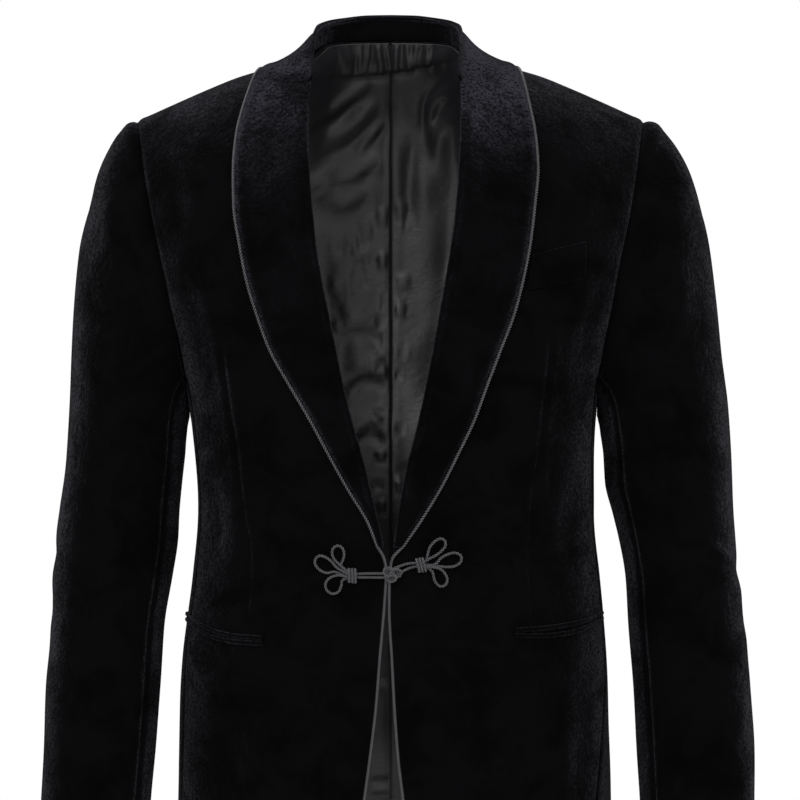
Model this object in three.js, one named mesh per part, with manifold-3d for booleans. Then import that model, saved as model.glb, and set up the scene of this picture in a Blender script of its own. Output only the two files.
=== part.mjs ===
// A velvet evening blazer with a shawl collar, corded edges and a frog closure.
// It keeps the hollow form it has when it is filled out on a general figure.
// Millimetres. +X is the viewer's right, -Y the front, +Z up. The origin is the
// middle of the neck, level with the inner ends of the shoulder seams.
import * as THREE from 'three';
import { mergeVertices } from 'three/addons/utils/BufferGeometryUtils.js';
import Module from 'manifold-3d';

const wasm = await Module();
wasm.setup();

// Cloth thicknesses and the clearances between pieces
const VELVET_WALL = 2.0;
const SHAWL_WALL = 3.0;
const STAND_WALL = 2.2;
const LINING_WALL = 1.0;
const LINING_SPACE = 3.0;
const POCKET_WALL = 1.6;
const SEAM_INSET = 0.25;
const CORD_RADIUS = 1.4;
const CORD_GAP = 0.4;
const SHAWL_LIFT = 1.7;
const TRIM_LIFT = 1.2;
const SHAWL_CORD_GAP = 0.9;
const LINING_SEAM_SPACE = 0.5;

// Main heights
const HEM = -738;
const HEM_CORNER_RADIUS = 30;
const LINING_ABOVE_HEM = 24;
const UNDERARM = -316;
const SHOULDER_END = 226;
const CLOSURE = -455;
const SIDE_LEVEL = -330;

// The fronts' inner edge: clear of the roll line, and eased to the shoulder seam's inner end
const ROLL_CLEARANCE = 1.2;
const EDGE_TURN_TOP = -425;
const NECK_EDGE = 79;
const NECK_EASE = { from: -60, to: 0 };
const CENTRE_X = 0.01;

// How much of the collar's hollow goes each way, across and up
const HOLLOW_SHARE = 0.7;
const SHOULDER_PASSES = 6;
const LOWEST_EDGE_CORD = -690;

// How square the body's rings are (2 is an ellipse), and how deep the shoulders round off
const RING_POWER = 2.4;
const ROUNDING = { front: 150, back: 120 };

// Body rings: half-widths on the wearer's right and left, depths in front and behind
const BODY = [
  { z: 60, right: 240, left: 240, front: 96, back: 100 },
  { z: 0, right: 240, left: 240, front: 104, back: 108 },
  { z: -54, right: 239, left: 239, front: 110, back: 116 },
  { z: -89, right: 238, left: 238, front: 113, back: 122 },
  { z: -136, right: 231, left: 232, front: 117, back: 128 },
  { z: -170, right: 223, left: 224, front: 119, back: 129 },
  { z: -215, right: 211, left: 213, front: 120, back: 127 },
  { z: -260, right: 193, left: 196, front: 120, back: 122 },
  { z: -292, right: 183, left: 186, front: 118, back: 118 },
  { z: -349, right: 175, left: 182, front: 113, back: 108 },
  { z: -404, right: 172, left: 182, front: 109, back: 103 },
  { z: -459, right: 176, left: 187, front: 108, back: 107 },
  { z: -532, right: 186, left: 193, front: 111, back: 118 },
  { z: -590, right: 188, left: 195, front: 114, back: 125 },
  { z: -662, right: 190, left: 197, front: 118, back: 130 },
  { z: -738, right: 192, left: 198, front: 121, back: 133 },
];

// Shoulder ridge and, inside the neck point, the slope that carries the collar
const RIDGE = [
  { x: 0, z: 43 }, { x: 35, z: 38 }, { x: 58, z: 25 }, { x: 72, z: 8 }, { x: 78, z: 2 },
  { x: 110, z: -8 }, { x: 135, z: -15.5 }, { x: 160, z: -25.5 }, { x: 190, z: -38.5 },
  { x: 226, z: -54.5 }, { x: 245, z: -63 },
];

// Neckline of the back, from the centre back seam to the shoulder seam
const BACK_NECK = [
  { x: 0, z: 23 }, { x: 35, z: 22 }, { x: 58, z: 18 }, { x: 72, z: 6 }, { x: 78, z: 2 },
];

// Armhole: angle on the body's ring, from the side line, in degrees
const ARMHOLE = [
  { z: -54, front: 21, back: 21 }, { z: -92, front: 24.5, back: 24 },
  { z: -138, front: 25.7, back: 26 }, { z: -200, front: 25.4, back: 26 },
  { z: -222, front: 23.6, back: 24.5 }, { z: -247, front: 19.9, back: 20.5 },
  { z: -268, front: 15.5, back: 16 }, { z: -295, front: 8.9, back: 9 },
  { z: -316, front: 0, back: 0 },
];

// Seams of the side panels: angle on the ring from the side line, in degrees
const SIDE_SEAMS = [
  { z: -277, right: 13.5, left: 13.5, back: 14 }, { z: -330, right: 13, left: 12, back: 17 },
  { z: -404, right: 13, left: 11, back: 20 }, { z: -532, right: 14, left: 11, back: 20 },
  { z: -590, right: 14.5, left: 17, back: 20 }, { z: -662, right: 14.5, left: 26, back: 20 },
  { z: -738, right: 14.5, left: 32, back: 20 },
];

// Corded front edges below the closure, as the middle line of the cord
const FRONT_CORD = [
  { z: -738, right: -34, left: 21 }, { z: -648, right: -22.4, left: 11.2 },
  { z: -615, right: -17.9, left: 7.2 }, { z: -570, right: -12.5, left: 3.8 },
  { z: -527, right: -9.1, left: 1.5 }, { z: -487, right: -5.6, left: -0.7 },
  { z: -455, right: -3.7, left: -0.1 },
];

// Where each cord climbs from the front edge to the shawl's edge, just above the closure
const CORD_TURN = { z: -441, right: -5.4, left: 1.9, lift: 1.6 };

// Shawl on the fronts: the roll line and the outer edge, both lying on the front
const LAPEL = [
  { roll_z: -430, roll_right: 7, roll_left: 4.2, edge_z: -430, edge_right: 9.4, edge_left: 9.6 },
  { roll_z: -410, roll_right: 11.2, roll_left: 7, edge_z: -410, edge_right: 17.2, edge_left: 23.4 },
  { roll_z: -380, roll_right: 18.4, roll_left: 11.7, edge_z: -380, edge_right: 35, edge_left: 41.5 },
  { roll_z: -350, roll_right: 26.1, roll_left: 18.4, edge_z: -350, edge_right: 51.5, edge_left: 56.6 },
  { roll_z: -320, roll_right: 34.5, roll_left: 26, edge_z: -320, edge_right: 67.5, edge_left: 70.7 },
  { roll_z: -290, roll_right: 41.9, roll_left: 32.6, edge_z: -290, edge_right: 85, edge_left: 81.6 },
  { roll_z: -260, roll_right: 48, roll_left: 38.1, edge_z: -260, edge_right: 101.6, edge_left: 93 },
  { roll_z: -230, roll_right: 54, roll_left: 43.4, edge_z: -230, edge_right: 112.7, edge_left: 104.4 },
  { roll_z: -200, roll_right: 60, roll_left: 48.8, edge_z: -200, edge_right: 121.7, edge_left: 112.3 },
  { roll_z: -170, roll_right: 64.9, roll_left: 53.6, edge_z: -168, edge_right: 128, edge_left: 118.6 },
  { roll_z: -140, roll_right: 68.1, roll_left: 57.4, edge_z: -136, edge_right: 132.8, edge_left: 122.6 },
  { roll_z: -110, roll_right: 70.5, roll_left: 59.9, edge_z: -103, edge_right: 133.6, edge_left: 125.8 },
  { roll_z: -82, roll_right: 71.8, roll_left: 61.3, edge_z: -72, edge_right: 131.5, edge_left: 124 },
  { roll_z: -52, roll_right: 71.5, roll_left: 62.1, edge_z: -49, edge_right: 126.5, edge_left: 120 },
];

// Collar round the neck, to the centre back: fold, outer edge on the shoulder, and stand seam
const COLLAR = [
  { fold_right: 71.4, fold_left: 63, fold_y: -66, fold_z: -20, edge_right: 121, edge_left: 116, edge_y: -45,
    stand_x: 4, stand_y: 2, stand_z: -7, hollow: 2 },
  { fold_right: 71, fold_left: 64.5, fold_y: -38, fold_z: 6, edge_right: 116, edge_left: 112.5, edge_y: -22,
    stand_x: 4, stand_y: 1, stand_z: -13, hollow: -1 },
  { fold_right: 70.5, fold_left: 66, fold_y: -12, fold_z: 22, edge_right: 112, edge_left: 109, edge_y: 3,
    stand_x: 6, stand_y: 0, stand_z: -20, hollow: -4 },
  { fold_right: 68.5, fold_left: 65, fold_y: 14, fold_z: 31, edge_right: 101, edge_left: 100, edge_y: 26,
    stand_x: 6, stand_y: 0, stand_z: -24, hollow: -4 },
  { fold_right: 60, fold_left: 57.5, fold_y: 38, fold_z: 38, edge_right: 84, edge_left: 83, edge_y: 46,
    stand_x: 1, stand_y: -1, stand_z: -19.5, hollow: -2 },
  { fold_right: 43, fold_left: 41, fold_y: 56, fold_z: 43, edge_right: 60, edge_left: 59, edge_y: 65,
    stand_x: 0, stand_y: -3, stand_z: -20.5, hollow: 0 },
  { fold_right: 22, fold_left: 21, fold_y: 64, fold_z: 46, edge_right: 31, edge_left: 31, edge_y: 79,
    stand_x: 0, stand_y: -4, stand_z: -22, hollow: 0 },
  { fold_right: 0.6, fold_left: 0.6, fold_y: 66, fold_z: 46.5, edge_right: 0.6, edge_left: 0.6, edge_y: 84,
    stand_x: 0, stand_y: -4, stand_z: -22, hollow: 0 },
];

// Sleeve sections from the armhole to the cuff: outer and inner points in the front view,
// half depth, the section's middle in depth, and how much of the armhole's shape is left
const SLEEVE = [
  { outer_z: -54.5, outer_right: 226, outer_left: 226, inner_z: -316,
    inner_right: 182, inner_left: 186, depth: 62, y: 3, armhole: 1 },
  { outer_z: -57.5, outer_right: 234.5, outer_left: 238, inner_z: -317,
    inner_right: 182, inner_left: 186.5, depth: 63, y: 3, armhole: 0.92 },
  { outer_z: -66, outer_right: 243.5, outer_left: 246, inner_z: -318.5,
    inner_right: 182, inner_left: 186.5, depth: 64, y: 3, armhole: 0.8 },
  { outer_z: -80, outer_right: 252.3, outer_left: 256.7, inner_z: -320,
    inner_right: 182, inner_left: 187, depth: 65, y: 3.5, armhole: 0.62 },
  { outer_z: -100, outer_right: 261.3, outer_left: 267.6, inner_z: -322,
    inner_right: 182, inner_left: 187, depth: 66, y: 4, armhole: 0.42 },
  { outer_z: -130, outer_right: 269.3, outer_left: 277, inner_z: -325,
    inner_right: 182.2, inner_left: 187.5, depth: 66.5, y: 4.5, armhole: 0.24 },
  { outer_z: -170, outer_right: 278.8, outer_left: 285.9, inner_z: -329,
    inner_right: 182.5, inner_left: 188, depth: 66.5, y: 5, armhole: 0.1 },
  { outer_z: -215, outer_right: 283.3, outer_left: 291.7, inner_z: -334,
    inner_right: 182.8, inner_left: 188.5, depth: 66, y: 6, armhole: 0.03 },
  { outer_z: -262, outer_right: 286, outer_left: 296.2, inner_z: -341,
    inner_right: 183.4, inner_left: 189.5, depth: 65, y: 7, armhole: 0 },
  { outer_z: -310, outer_right: 288, outer_left: 302.6, inner_z: -352,
    inner_right: 184, inner_left: 191, depth: 63.5, y: 8, armhole: 0 },
  { outer_z: -361, outer_right: 291.3, outer_left: 306, inner_z: -378,
    inner_right: 186.5, inner_left: 192.5, depth: 61, y: 8, armhole: 0 },
  { outer_z: -400, outer_right: 296.7, outer_left: 307.2, inner_z: -406,
    inner_right: 189.3, inner_left: 199.5, depth: 58, y: 7, armhole: 0 },
  { outer_z: -425, outer_right: 299.5, outer_left: 308.8, inner_z: -428,
    inner_right: 190.5, inner_left: 204.5, depth: 56, y: 5, armhole: 0 },
  { outer_z: -464, outer_right: 301.2, outer_left: 311.9, inner_z: -464,
    inner_right: 195.3, inner_left: 210.2, depth: 53, y: 0, armhole: 0 },
  { outer_z: -510, outer_right: 303, outer_left: 316.4, inner_z: -508,
    inner_right: 201.8, inner_left: 212.5, depth: 51, y: -8, armhole: 0 },
  { outer_z: -560, outer_right: 306.4, outer_left: 320.4, inner_z: -556,
    inner_right: 204.3, inner_left: 215.5, depth: 49, y: -18, armhole: 0 },
  { outer_z: -612, outer_right: 307.4, outer_left: 323.1, inner_z: -606,
    inner_right: 207.8, inner_left: 218.2, depth: 47, y: -28, armhole: 0 },
  { outer_z: -662, outer_right: 309.2, outer_left: 321.8, inner_z: -656,
    inner_right: 211.7, inner_left: 220.6, depth: 45, y: -37, armhole: 0 },
  { outer_z: -692, outer_right: 310, outer_left: 321.5, inner_z: -686,
    inner_right: 213, inner_left: 221.5, depth: 44, y: -42, armhole: 0 },
];

// Where the grids of the panels are cut: heights below the armhole, angles round the armhole
// (0 at the shoulder, 180 under the arm, positive in front), and shares of a panel's width
const LEVELS = [-738, -700, -640, -580, -520, -480, -455, -425, -390, -355, -330];
const FRONT_TURNS = [140, 115, 90, 70, 50, 30, 12, 0];
const UNDER_TURNS = [140, 160, 180, 202, 225];
const BACK_TURNS = [-135, -118, -90, -70, -50, -30, -12, 0];
const SLEEVE_TOP_TURNS = [-118, -90, -70, -50, -30, -12, 0, 12, 30, 50, 70, 90, 115, 140];
const SLEEVE_UNDER_TURNS = [140, 160, 180, 202, 225, 242];
const FRONT_SHARES = [0, 0.04, 0.1, 0.2, 0.35, 0.52, 0.7, 0.83, 0.93, 1];
const BACK_SHARES = [0, 0.18, 0.36, 0.54, 0.7, 0.83, 0.93, 1];
const SIDE_SHARES = [0, 0.25, 0.5, 0.75, 1];
const SHAWL_SHARES = [0, 0.12, 0.4, 0.7, 1];
const STAND_SHARES = [0, 0.5, 1];

// Pockets on the fronts
const BREAST_WELT = {
  top: [{ x: 123.5, z: -178.6 }, { x: 146, z: -172.5 }, { x: 169, z: -166.5 }],
  bottom: [{ x: 118.5, z: -207.5 }, { x: 144, z: -203.6 }, { x: 168.5, z: -197.8 }],
};
const HIP_POCKET = {
  jet_height: 4.2, jet_gap: 0.5,
  right: [
    { x: 111, z: -513 }, { x: 133, z: -512 }, { x: 150, z: -509.5 }, { x: 162, z: -505.5 },
    { x: 170, z: -502 }, { x: 175.5, z: -499 }, { x: 179, z: -496.5 },
  ],
  left: [
    { x: 109, z: -506 }, { x: 133, z: -505 }, { x: 152, z: -503 }, { x: 166, z: -501 },
    { x: 175, z: -499 }, { x: 182, z: -496.5 }, { x: 186, z: -495 },
  ],
};

// Frog closure: the wraps, loops (direction in degrees, length, half-width) and the knot
const KNOT = {
  x: 2.2, z: -455.3, width: 18, height: 14, lift: 5.4,
  turns: [0, 60, 120], ring_inset: 2, ring_radius: 2.1, ring_squeeze: 1.25, core_inset: 3, core_depth: 2.6,
};
const FROG_LIFT = CORD_RADIUS + CORD_GAP + 0.2;
const LOOP = { points: 12, crossing: 0.5, fullness: 1.35, least_pinch: 0.06 };
const BAR_RISE = 1.6;
const WRAP = { depth: 3.1, rise: 1.2 };
const FROGS = {
  right: {
    wrap: { x: -32.6, z: -455.6, width: 9, height: 13 },
    bars: [
      { from_x: -30, from_z: -452.7, to_x: -7.3, to_z: -453.6 },
      { from_x: -30, from_z: -457.9, to_x: -7.8, to_z: -457.2 },
    ],
    loops: [
      { turn: 110, length: 27, half: 5 },
      { turn: 160, length: 33, half: 6.2 },
      { turn: 222, length: 24, half: 5.6 },
    ],
  },
  left: {
    wrap: { x: 26.6, z: -446.4, width: 9, height: 13 },
    bars: [
      { from_x: 24, from_z: -444.6, to_x: 8.8, to_z: -449.8 },
      { from_x: 24, from_z: -449.4, to_x: 11.9, to_z: -453.6 },
    ],
    loops: [
      { turn: 54, length: 28, half: 5.4 },
      { turn: 7, length: 34, half: 5.4 },
      { turn: -50, length: 25, half: 5.4 },
    ],
  },
};

// Sides and steps of the cords, and divisions of the small round shapes
const CORD_SIDES = 6;
const CORD_STEPS = { piping: 74, loop: 14, bar: 3 };
const ROUND = { across: 12, down: 8, ring: 16 };

// Colours and finishes
const VELVET = { color: '#09090b', roughness: 0.95, metalness: 0 };
const SATIN = { color: '#242426', roughness: 0.4, metalness: 0 };
const CORD = { color: '#4b4b4e', roughness: 0.6, metalness: 0 };

const blazer = new THREE.Group();
blazer.name = 'velvet_blazer';

function addPiece(name, geometry, finish) {
  const mesh = new THREE.Mesh(geometry, new THREE.MeshStandardMaterial(finish));
  mesh.name = name;
  blazer.add(mesh);
}

// Smooth curve through one column of a table against another, with no overshoot
function columnCurve(rows, key, value) {
  const sorted = [...rows].sort((a, b) => a[key] - b[key]);
  const x = sorted.map((row) => row[key]);
  const y = sorted.map((row) => row[value]);
  const last = x.length - 1;
  const step = x.slice(1).map((right, i) => right - x[i]);
  const slope = step.map((width, i) => (y[i + 1] - y[i]) / width);
  const tangent = x.map((_, i) => {
    if (i === 0) return slope[0];
    if (i === last) return slope[last - 1];
    if (slope[i - 1] * slope[i] <= 0) return 0;
    const before = 2 * step[i] + step[i - 1];
    const after = step[i] + 2 * step[i - 1];
    return (before + after) / (before / slope[i - 1] + after / slope[i]);
  });
  return (at) => {
    const here = Math.min(Math.max(at, x[0]), x[last]);
    let i = 0;
    while (i < last - 1 && here > x[i + 1]) i += 1;
    const t = (here - x[i]) / step[i];
    const rise = t * t * (3 - 2 * t);
    const start = t * (1 - t) * (1 - t) * step[i] * tangent[i];
    const end = t * t * (t - 1) * step[i] * tangent[i + 1];
    return y[i] * (1 - rise) + y[i + 1] * rise + start + end;
  };
}

const SIDES = { right: -1, left: 1 };
const halfWidth = { right: columnCurve(BODY, 'z', 'right'), left: columnCurve(BODY, 'z', 'left') };
const depth = { front: columnCurve(BODY, 'z', 'front'), back: columnCurve(BODY, 'z', 'back') };
const ridge = columnCurve(RIDGE, 'x', 'z');
const backNeck = columnCurve(BACK_NECK, 'x', 'z');
const armholeAngle = {
  front: columnCurve(ARMHOLE, 'z', 'front'),
  back: columnCurve(ARMHOLE, 'z', 'back'),
};
const frontSeam = {
  right: columnCurve(SIDE_SEAMS, 'z', 'right'),
  left: columnCurve(SIDE_SEAMS, 'z', 'left'),
};
const backSeam = columnCurve(SIDE_SEAMS, 'z', 'back');
const frontCord = {
  right: columnCurve(FRONT_CORD, 'z', 'right'),
  left: columnCurve(FRONT_CORD, 'z', 'left'),
};
const rollLine = {
  right: columnCurve(LAPEL, 'roll_z', 'roll_right'),
  left: columnCurve(LAPEL, 'roll_z', 'roll_left'),
};

const mix = (a, b, share) => a + (b - a) * share;
const degrees = (angle) => (angle * Math.PI) / 180;

// The body's form: how far the surface stands from the middle, in front or behind, at (x, z)
function surfaceDepth(side, face, x, z) {
  const across = Math.min(Math.abs(x) / halfWidth[side](z), 1);
  const ring = Math.pow(1 - Math.pow(across, RING_POWER), 1 / RING_POWER);
  const below = Math.min(Math.max((ridge(Math.abs(x)) - z) / ROUNDING[face], 0), 1);
  return depth[face](z) * ring * Math.sqrt(1 - (1 - below) ** 2);
}

function bodyPoint(side, face, x, z) {
  const y = surfaceDepth(side, face, x, z) * (face === 'front' ? -1 : 1);
  return new THREE.Vector3(x, y, z);
}

function ringWidth(side, angle, z) {
  return halfWidth[side](z) * Math.pow(Math.cos(degrees(angle)), 2 / RING_POWER);
}

// Outward direction of the form at a point of it, from the slope of its implicit equation
function bodyNormal(side, face, point) {
  const level = (x, y, z) => y * y - surfaceDepth(side, face, x, z) ** 2;
  const nudge = 0.05;
  const slope = new THREE.Vector3(
    level(point.x + nudge, point.y, point.z) - level(point.x - nudge, point.y, point.z),
    level(point.x, point.y + nudge, point.z) - level(point.x, point.y - nudge, point.z),
    level(point.x, point.y, point.z + nudge) - level(point.x, point.y, point.z - nudge),
  );
  return slope.normalize();
}

function onBody(side, face, x, z, lift) {
  const point = bodyPoint(side, face, x, z);
  return point.addScaledVector(bodyNormal(side, face, point), lift);
}

// Height of the shoulder's surface above a place (x, y) near the neck
function onShoulder(side, x, y, lift) {
  const face = y < 0 ? 'front' : 'back';
  let z = ridge(Math.abs(x));
  for (let pass = 0; pass < SHOULDER_PASSES; pass += 1) {
    const across = Math.pow(1 - Math.pow(Math.abs(x) / halfWidth[side](z), RING_POWER), 1 / RING_POWER);
    const turn = Math.min(Math.abs(y) / (depth[face](z) * across), 1);
    z = ridge(Math.abs(x)) - ROUNDING[face] * (1 - Math.sqrt(1 - turn * turn));
  }
  const point = new THREE.Vector3(x, y, z);
  return point.addScaledVector(bodyNormal(side, face, point), lift);
}

// Outward directions of a grid of points, from its neighbours; wrap joins its last column to its first
function gridNormals(rows, wrap, flip) {
  const last = rows.length - 1;
  return rows.map((row, i) => row.map((point, j) => {
    const count = row.length;
    const next = wrap ? row[(j + 1) % count] : row[Math.min(j + 1, count - 1)];
    const before = wrap ? row[(j + count - 1) % count] : row[Math.max(j - 1, 0)];
    const along = rows[Math.min(i + 1, last)][j].clone().sub(rows[Math.max(i - 1, 0)][j]);
    return next.clone().sub(before).cross(along).normalize().multiplyScalar(flip);
  }));
}

// Moves the named borders of a grid inwards, so that neighbours stay clear at a seam
function insetBorders(rows, borders) {
  const grid = rows.map((row) => row.map((point) => point.clone()));
  const lastRow = rows.length - 1;
  const lastColumn = rows[0].length - 1;
  const shift = (i, j, towardRow, towardColumn) => {
    const way = rows[towardRow][towardColumn].clone().sub(rows[i][j]).normalize();
    grid[i][j].addScaledVector(way, SEAM_INSET);
  };
  for (let i = 0; i <= lastRow; i += 1) {
    if (borders.includes('first')) shift(i, 0, i, 1);
    if (borders.includes('last')) shift(i, lastColumn, i, lastColumn - 1);
  }
  for (let j = 0; j <= lastColumn; j += 1) {
    if (borders.includes('bottom')) shift(0, j, 1, j);
    if (borders.includes('top')) shift(lastRow, j, lastRow - 1, j);
  }
  return grid;
}

// A closed wall of cloth: a grid of outer points, thickened inwards along their directions
function clothWall(rows, normals, thickness) {
  const height = rows.length;
  const width = rows[0].length;
  const positions = [];
  const push = (point) => positions.push(point.x, point.y, point.z);
  rows.forEach((row) => row.forEach(push));
  rows.forEach((row, i) => row.forEach((point, j) => {
    push(point.clone().addScaledVector(normals[i][j], -thickness));
  }));
  const outer = (i, j) => i * width + j;
  const inner = (i, j) => height * width + i * width + j;
  const faces = [];
  const quad = (a, b, c, d) => faces.push(a, b, c, a, c, d);
  for (let i = 0; i < height - 1; i += 1) {
    for (let j = 0; j < width - 1; j += 1) {
      quad(outer(i, j), outer(i, j + 1), outer(i + 1, j + 1), outer(i + 1, j));
      quad(inner(i, j), inner(i + 1, j), inner(i + 1, j + 1), inner(i, j + 1));
    }
    quad(outer(i, 0), outer(i + 1, 0), inner(i + 1, 0), inner(i, 0));
    quad(outer(i, width - 1), inner(i, width - 1), inner(i + 1, width - 1), outer(i + 1, width - 1));
  }
  for (let j = 0; j < width - 1; j += 1) {
    quad(outer(0, j), inner(0, j), inner(0, j + 1), outer(0, j + 1));
    quad(outer(height - 1, j), outer(height - 1, j + 1), inner(height - 1, j + 1), inner(height - 1, j));
  }
  return facingOut(positions, faces);
}

function facingOut(positions, faces) {
  let volume = 0;
  const corner = (index) => new THREE.Vector3().fromArray(positions, index * 3);
  for (let f = 0; f < faces.length; f += 3) {
    const a = corner(faces[f]);
    volume += a.dot(corner(faces[f + 1]).cross(corner(faces[f + 2])));
  }
  if (volume < 0) {
    for (let f = 0; f < faces.length; f += 3) [faces[f], faces[f + 1]] = [faces[f + 1], faces[f]];
  }
  const geometry = new THREE.BufferGeometry();
  geometry.setAttribute('position', new THREE.Float32BufferAttribute(positions, 3));
  geometry.setIndex(faces);
  geometry.computeVertexNormals();
  return geometry;
}

// Height of a point of the armhole at a turn round it
function armholeHeight(turn) {
  const top = ridge(SHOULDER_END);
  return (top + UNDERARM) / 2 + ((top - UNDERARM) / 2) * Math.cos(degrees(turn));
}

function armholePoint(side, turn) {
  const z = armholeHeight(turn);
  if (turn === 0) return new THREE.Vector3(SIDES[side] * SHOULDER_END, 0, z);
  const face = turn > 0 && turn < 180 ? 'front' : 'back';
  const x = SIDES[side] * Math.min(ringWidth(side, armholeAngle[face](z), z), SHOULDER_END);
  return bodyPoint(side, face, x, z);
}

// Inner edge of a front: the corded edge below the closure, the roll line above, then the neck point
function frontEdge(side, z) {
  const cord = frontCord[side](z) + SIDES[side] * (CORD_RADIUS + CORD_GAP);
  if (z <= CLOSURE) return cord;
  const neckShare = THREE.MathUtils.smoothstep(z, NECK_EASE.from, NECK_EASE.to);
  const roll = SIDES[side] * mix(rollLine[side](z) + ROLL_CLEARANCE, NECK_EDGE, neckShare);
  return mix(cord, roll, THREE.MathUtils.smoothstep(z, CLOSURE, EDGE_TURN_TOP));
}

// Rows of a front or back: level ones up to the side panel's top, then fanned to the shoulder
function panelRows(side, face, shares, innerX, outerSeam, turns, topX, topZ) {
  const start = armholeHeight(turns[0]);
  const levels = [...LEVELS, (SIDE_LEVEL + start) / 2];
  const rows = levels.map((z) => shares.map((share) => {
    const outer = SIDES[side] * ringWidth(side, outerSeam(z), z);
    return { x: mix(innerX(z), outer, share), z };
  }));
  turns.forEach((turn) => {
    const outer = armholePoint(side, turn);
    const climb = (outer.z - start) / (ridge(SHOULDER_END) - start);
    rows.push(shares.map((share) => {
      const innerZ = mix(start, topZ(Math.abs(topX)), climb);
      const top = topZ(Math.abs(mix(topX, SIDES[side] * SHOULDER_END, share)));
      return { x: mix(innerX(innerZ), outer.x, share), z: mix(start, top, climb) };
    }));
  });
  return rows;
}

// A panel of the body over its rows of places; drop gives how far each row is moved in
function addPanel(name, side, face, rows, borders, wall, drop, finish) {
  const points = rows.map((row) => row.map(({ x, z }) => bodyPoint(side, face, x, z)));
  const normals = points.map((row) => row.map((point) => bodyNormal(side, face, point)));
  const lowered = points.map((row, i) => row.map((point, j) => {
    return point.addScaledVector(normals[i][j], -drop(i));
  }));
  addPiece(name, clothWall(insetBorders(lowered, borders), normals, wall), finish);
}

function addFront(side) {
  const edge = (z) => frontEdge(side, z);
  const topX = SIDES[side] * NECK_EDGE;
  const rows = panelRows(side, 'front', FRONT_SHARES, edge, frontSeam[side], FRONT_TURNS, topX, ridge);
  rows[0].forEach((place) => {
    const reach = Math.max(HEM_CORNER_RADIUS - Math.abs(place.x - rows[0][0].x), 0);
    place.z += HEM_CORNER_RADIUS - Math.sqrt(HEM_CORNER_RADIUS ** 2 - reach ** 2);
  });
  addPanel(`front_${side}`, side, 'front', rows, ['last', 'top'], VELVET_WALL, () => 0, VELVET);
}

function addBack(side) {
  const middle = () => SIDES[side] * CENTRE_X;
  const rows = panelRows(side, 'back', BACK_SHARES, middle, backSeam, BACK_TURNS, middle(), backTop);
  addPanel(`back_${side}`, side, 'back', rows, ['first', 'last', 'top'], VELVET_WALL, () => 0, VELVET);
}

// Top line of the back: neckline as far as the shoulder seam, then the ridge
function backTop(x) {
  const neckPoint = BACK_NECK[BACK_NECK.length - 1].x;
  return x < neckPoint ? backNeck(x) : ridge(x);
}

// Back lining: the back's own points, moved in, short of its hem and armhole, and sewn down
// along its lowest and highest rows
function addLining(side) {
  const shares = BACK_SHARES.slice(0, -1);
  const turns = BACK_TURNS.slice(0, -1);
  const middle = () => SIDES[side] * CENTRE_X;
  const rows = panelRows(side, 'back', shares, middle, backSeam, turns, middle(), backTop);
  rows[0].forEach((place) => { place.z += LINING_ABOVE_HEM; });
  const sewn = [0, rows.length - 1];
  const drop = (i) => VELVET_WALL + (sewn.includes(i) ? LINING_SEAM_SPACE : LINING_SPACE);
  addPanel(`lining_back_${side}`, side, 'back', rows, ['first'], LINING_WALL, drop, SATIN);
}

function addSidePanel(side) {
  const ringPoint = (z, share) => {
    const angle = mix(frontSeam[side](z), -backSeam(z), share);
    const x = SIDES[side] * ringWidth(side, Math.abs(angle), z);
    return bodyPoint(side, angle > 0 ? 'front' : 'back', x, z);
  };
  const rows = LEVELS.map((z) => SIDE_SHARES.map((share) => ringPoint(z, share)));
  const top = UNDER_TURNS.map((turn) => armholePoint(side, turn));
  rows.push(SIDE_SHARES.map((share, j) => ringPoint((SIDE_LEVEL + top[j].z) / 2, share)));
  rows.push(top);
  const normals = rows.map((row) => row.map((point) => {
    return bodyNormal(side, point.y < 0 ? 'front' : 'back', point);
  }));
  const geometry = clothWall(insetBorders(rows, ['first', 'last', 'top']), normals, VELVET_WALL);
  addPiece(`side_${side}`, geometry, VELVET);
}

// One point of a sleeve: a section between its outer and inner points, eased into the armhole
function sleevePoint(side, row, turn) {
  const outer = new THREE.Vector3(SIDES[side] * row[`outer_${side}`], row.y, row.outer_z);
  const inner = new THREE.Vector3(SIDES[side] * row[`inner_${side}`], row.y, row.inner_z);
  const place = inner.clone().lerp(outer, (1 + Math.cos(degrees(turn))) / 2);
  place.y -= row.depth * Math.sin(degrees(turn));
  const first = SLEEVE[0];
  const plain = new THREE.Vector3(
    SIDES[side] * mix(first[`inner_${side}`], first[`outer_${side}`], (1 + Math.cos(degrees(turn))) / 2),
    first.y - first.depth * Math.sin(degrees(turn)),
    armholeHeight(turn),
  );
  const ease = armholePoint(side, turn > 180 ? turn - 360 : turn).sub(plain);
  return place.addScaledVector(ease, row.armhole);
}

function addSleeve(side) {
  const turns = [...SLEEVE_TOP_TURNS.slice(0, -1), ...SLEEVE_UNDER_TURNS.slice(0, -1)];
  const rows = SLEEVE.map((row) => turns.map((turn) => sleevePoint(side, row, turn)));
  const normals = gridNormals(rows, true, SIDES[side]);
  const topCount = SLEEVE_TOP_TURNS.length;
  const pick = (grid, from, count) => grid.map((row) => {
    return Array.from({ length: count }, (_, k) => row[(from + k) % row.length]);
  });
  const pieces = [
    { name: `sleeve_top_${side}`, from: 0, count: topCount },
    { name: `sleeve_under_${side}`, from: topCount - 1, count: SLEEVE_UNDER_TURNS.length },
  ];
  pieces.forEach(({ name, from, count }) => {
    const grid = insetBorders(pick(rows, from, count), ['first', 'last', 'bottom']);
    addPiece(name, clothWall(grid, pick(normals, from, count), VELVET_WALL), VELVET);
  });
}

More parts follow.
